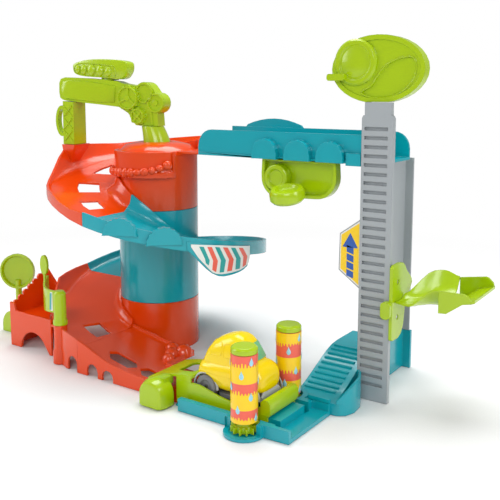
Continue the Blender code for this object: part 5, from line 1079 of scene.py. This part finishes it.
rings, ridge = [], []
form = bmesh.new()
for inner in round_path(DEEP_FIELD, 4):
    ray = (inner - WAVE_MIDDLE).normalized()
    outer = oval_edge(WAVE_MIDDLE, ray)
    profile = (outer, -SUNK), (outer, RELIEF), (inner + ray * 0.0009, RELIEF), (inner, -SUNK)
    rings.append([(SIGN_X + p.x, FIELD_Y - lift, SIGN_Z + p.y) for p, lift in profile])
    top = inner + ray * 0.0016
    ridge.append((SIGN_X + top.x, FIELD_Y - RELIEF, SIGN_Z + top.y))
skin_rings(form, rings, closed=True)
bead(form, ridge, 0.0009)
place_piece("sign_wave", form, "garage", "green")
form = bmesh.new()
turned(form, DOME, DOME_AT)
place_piece("sign_dome", form, "garage", "green")
print("sign relief made")

# %% [markdown]
# ## Rounded mouldings
# No moulded edge is sharp: the tool's edges are broken by about half a millimetre, so that
# the part leaves it cleanly and a child can hold it. Each CAD node is copied, its flat
# facets are joined up, its edges are rounded, and its curves are shaded as curves. The copy
# stands in for the node on the same body.

# %% Copies with rounded edges
EDGE_ROUND, CREASE, MERGE = 0.0005, radians(38.0), 0.00001


def merged(piece):
    """A bmesh of a piece with its facets' corners joined."""
    form = bmesh.new()
    form.from_mesh(piece.data)
    form.transform(piece.matrix_world)
    bmesh.ops.remove_doubles(form, verts=form.verts, dist=MERGE)
    return form


def opened(source, low, high):
    """A node's merged copy with a box taken out of it."""
    low, high = Vector(low), Vector(high)
    whole = mesh_object("whole", merged(source))
    form = bmesh.new()
    bmesh.ops.create_cube(form, size=1.0)
    for vertex in form.verts:
        vertex.co = (low + high) / 2 + vertex.co * (high - low)
    take_out(whole, [mesh_object("taken", form)])
    form = merged(whole)
    bpy.data.objects.remove(whole)
    return form


def refined(node, width, take=()):
    """A copy of a CAD node with rounded edges and smooth curves, in its place."""
    source = frame["nodes"][node]
    form = opened(source, *take) if take else merged(source)
    bmesh.ops.dissolve_degenerate(form, edges=form.edges, dist=2 * MERGE)
    bmesh.ops.dissolve_limit(form, angle_limit=radians(0.5), verts=form.verts,
                             edges=form.edges)
    sharp = [edge for edge in form.edges
             if len(edge.link_faces) == 2 and edge.calc_face_angle(0.0) > CREASE
             and edge.calc_length() > 2.4 * width]
    if sharp:
        bmesh.ops.bevel(form, geom=sharp, offset=width, segments=2, profile=0.5, affect="EDGES",
                        clamp_overlap=True)
    # Points and faces only: the copy keeps none of the CAD mesh's other layers.
    form.verts.index_update()
    plain = bpy.data.meshes.new("refined_" + node)
    plain.from_pydata([v.co for v in form.verts], [],
                      [[v.index for v in face.verts] for face in form.faces])
    form.free()
    plain.shade_smooth()
    plain.set_sharp_from_angle(angle=CREASE)
    piece = linked("refined_" + node, plain)
    piece.modifiers.new("weighted", "WEIGHTED_NORMAL").keep_sharp = True
    settle(piece)
    carried(piece, body_of.get(node, "garage"), slot_of[node])
    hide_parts(node)


ALREADY_NEW = ("car_body", "car_bumper", "arrow_panel", "lamp_bar")
WIDER = {"lift_sign": 0.0012, "carriage_scoop": 0.0010, "crane_boom": 0.0010,
         "round_sign_dish": 0.0008}
# The collar round the front gear is open towards the front, down to a thin foot.
TAKEN = {"wash_base": ((0.2255, -0.190, 0.0030), (0.2660, -0.1640, 0.030))}
rounded = [node for node in sorted(slot_of)
           if slot_of[node] != "steel" and node not in ALREADY_NEW]
for node in rounded:
    refined(node, WIDER.get(node, EDGE_ROUND), TAKEN.get(node, ()))
print("rounded nodes:", len(rounded))
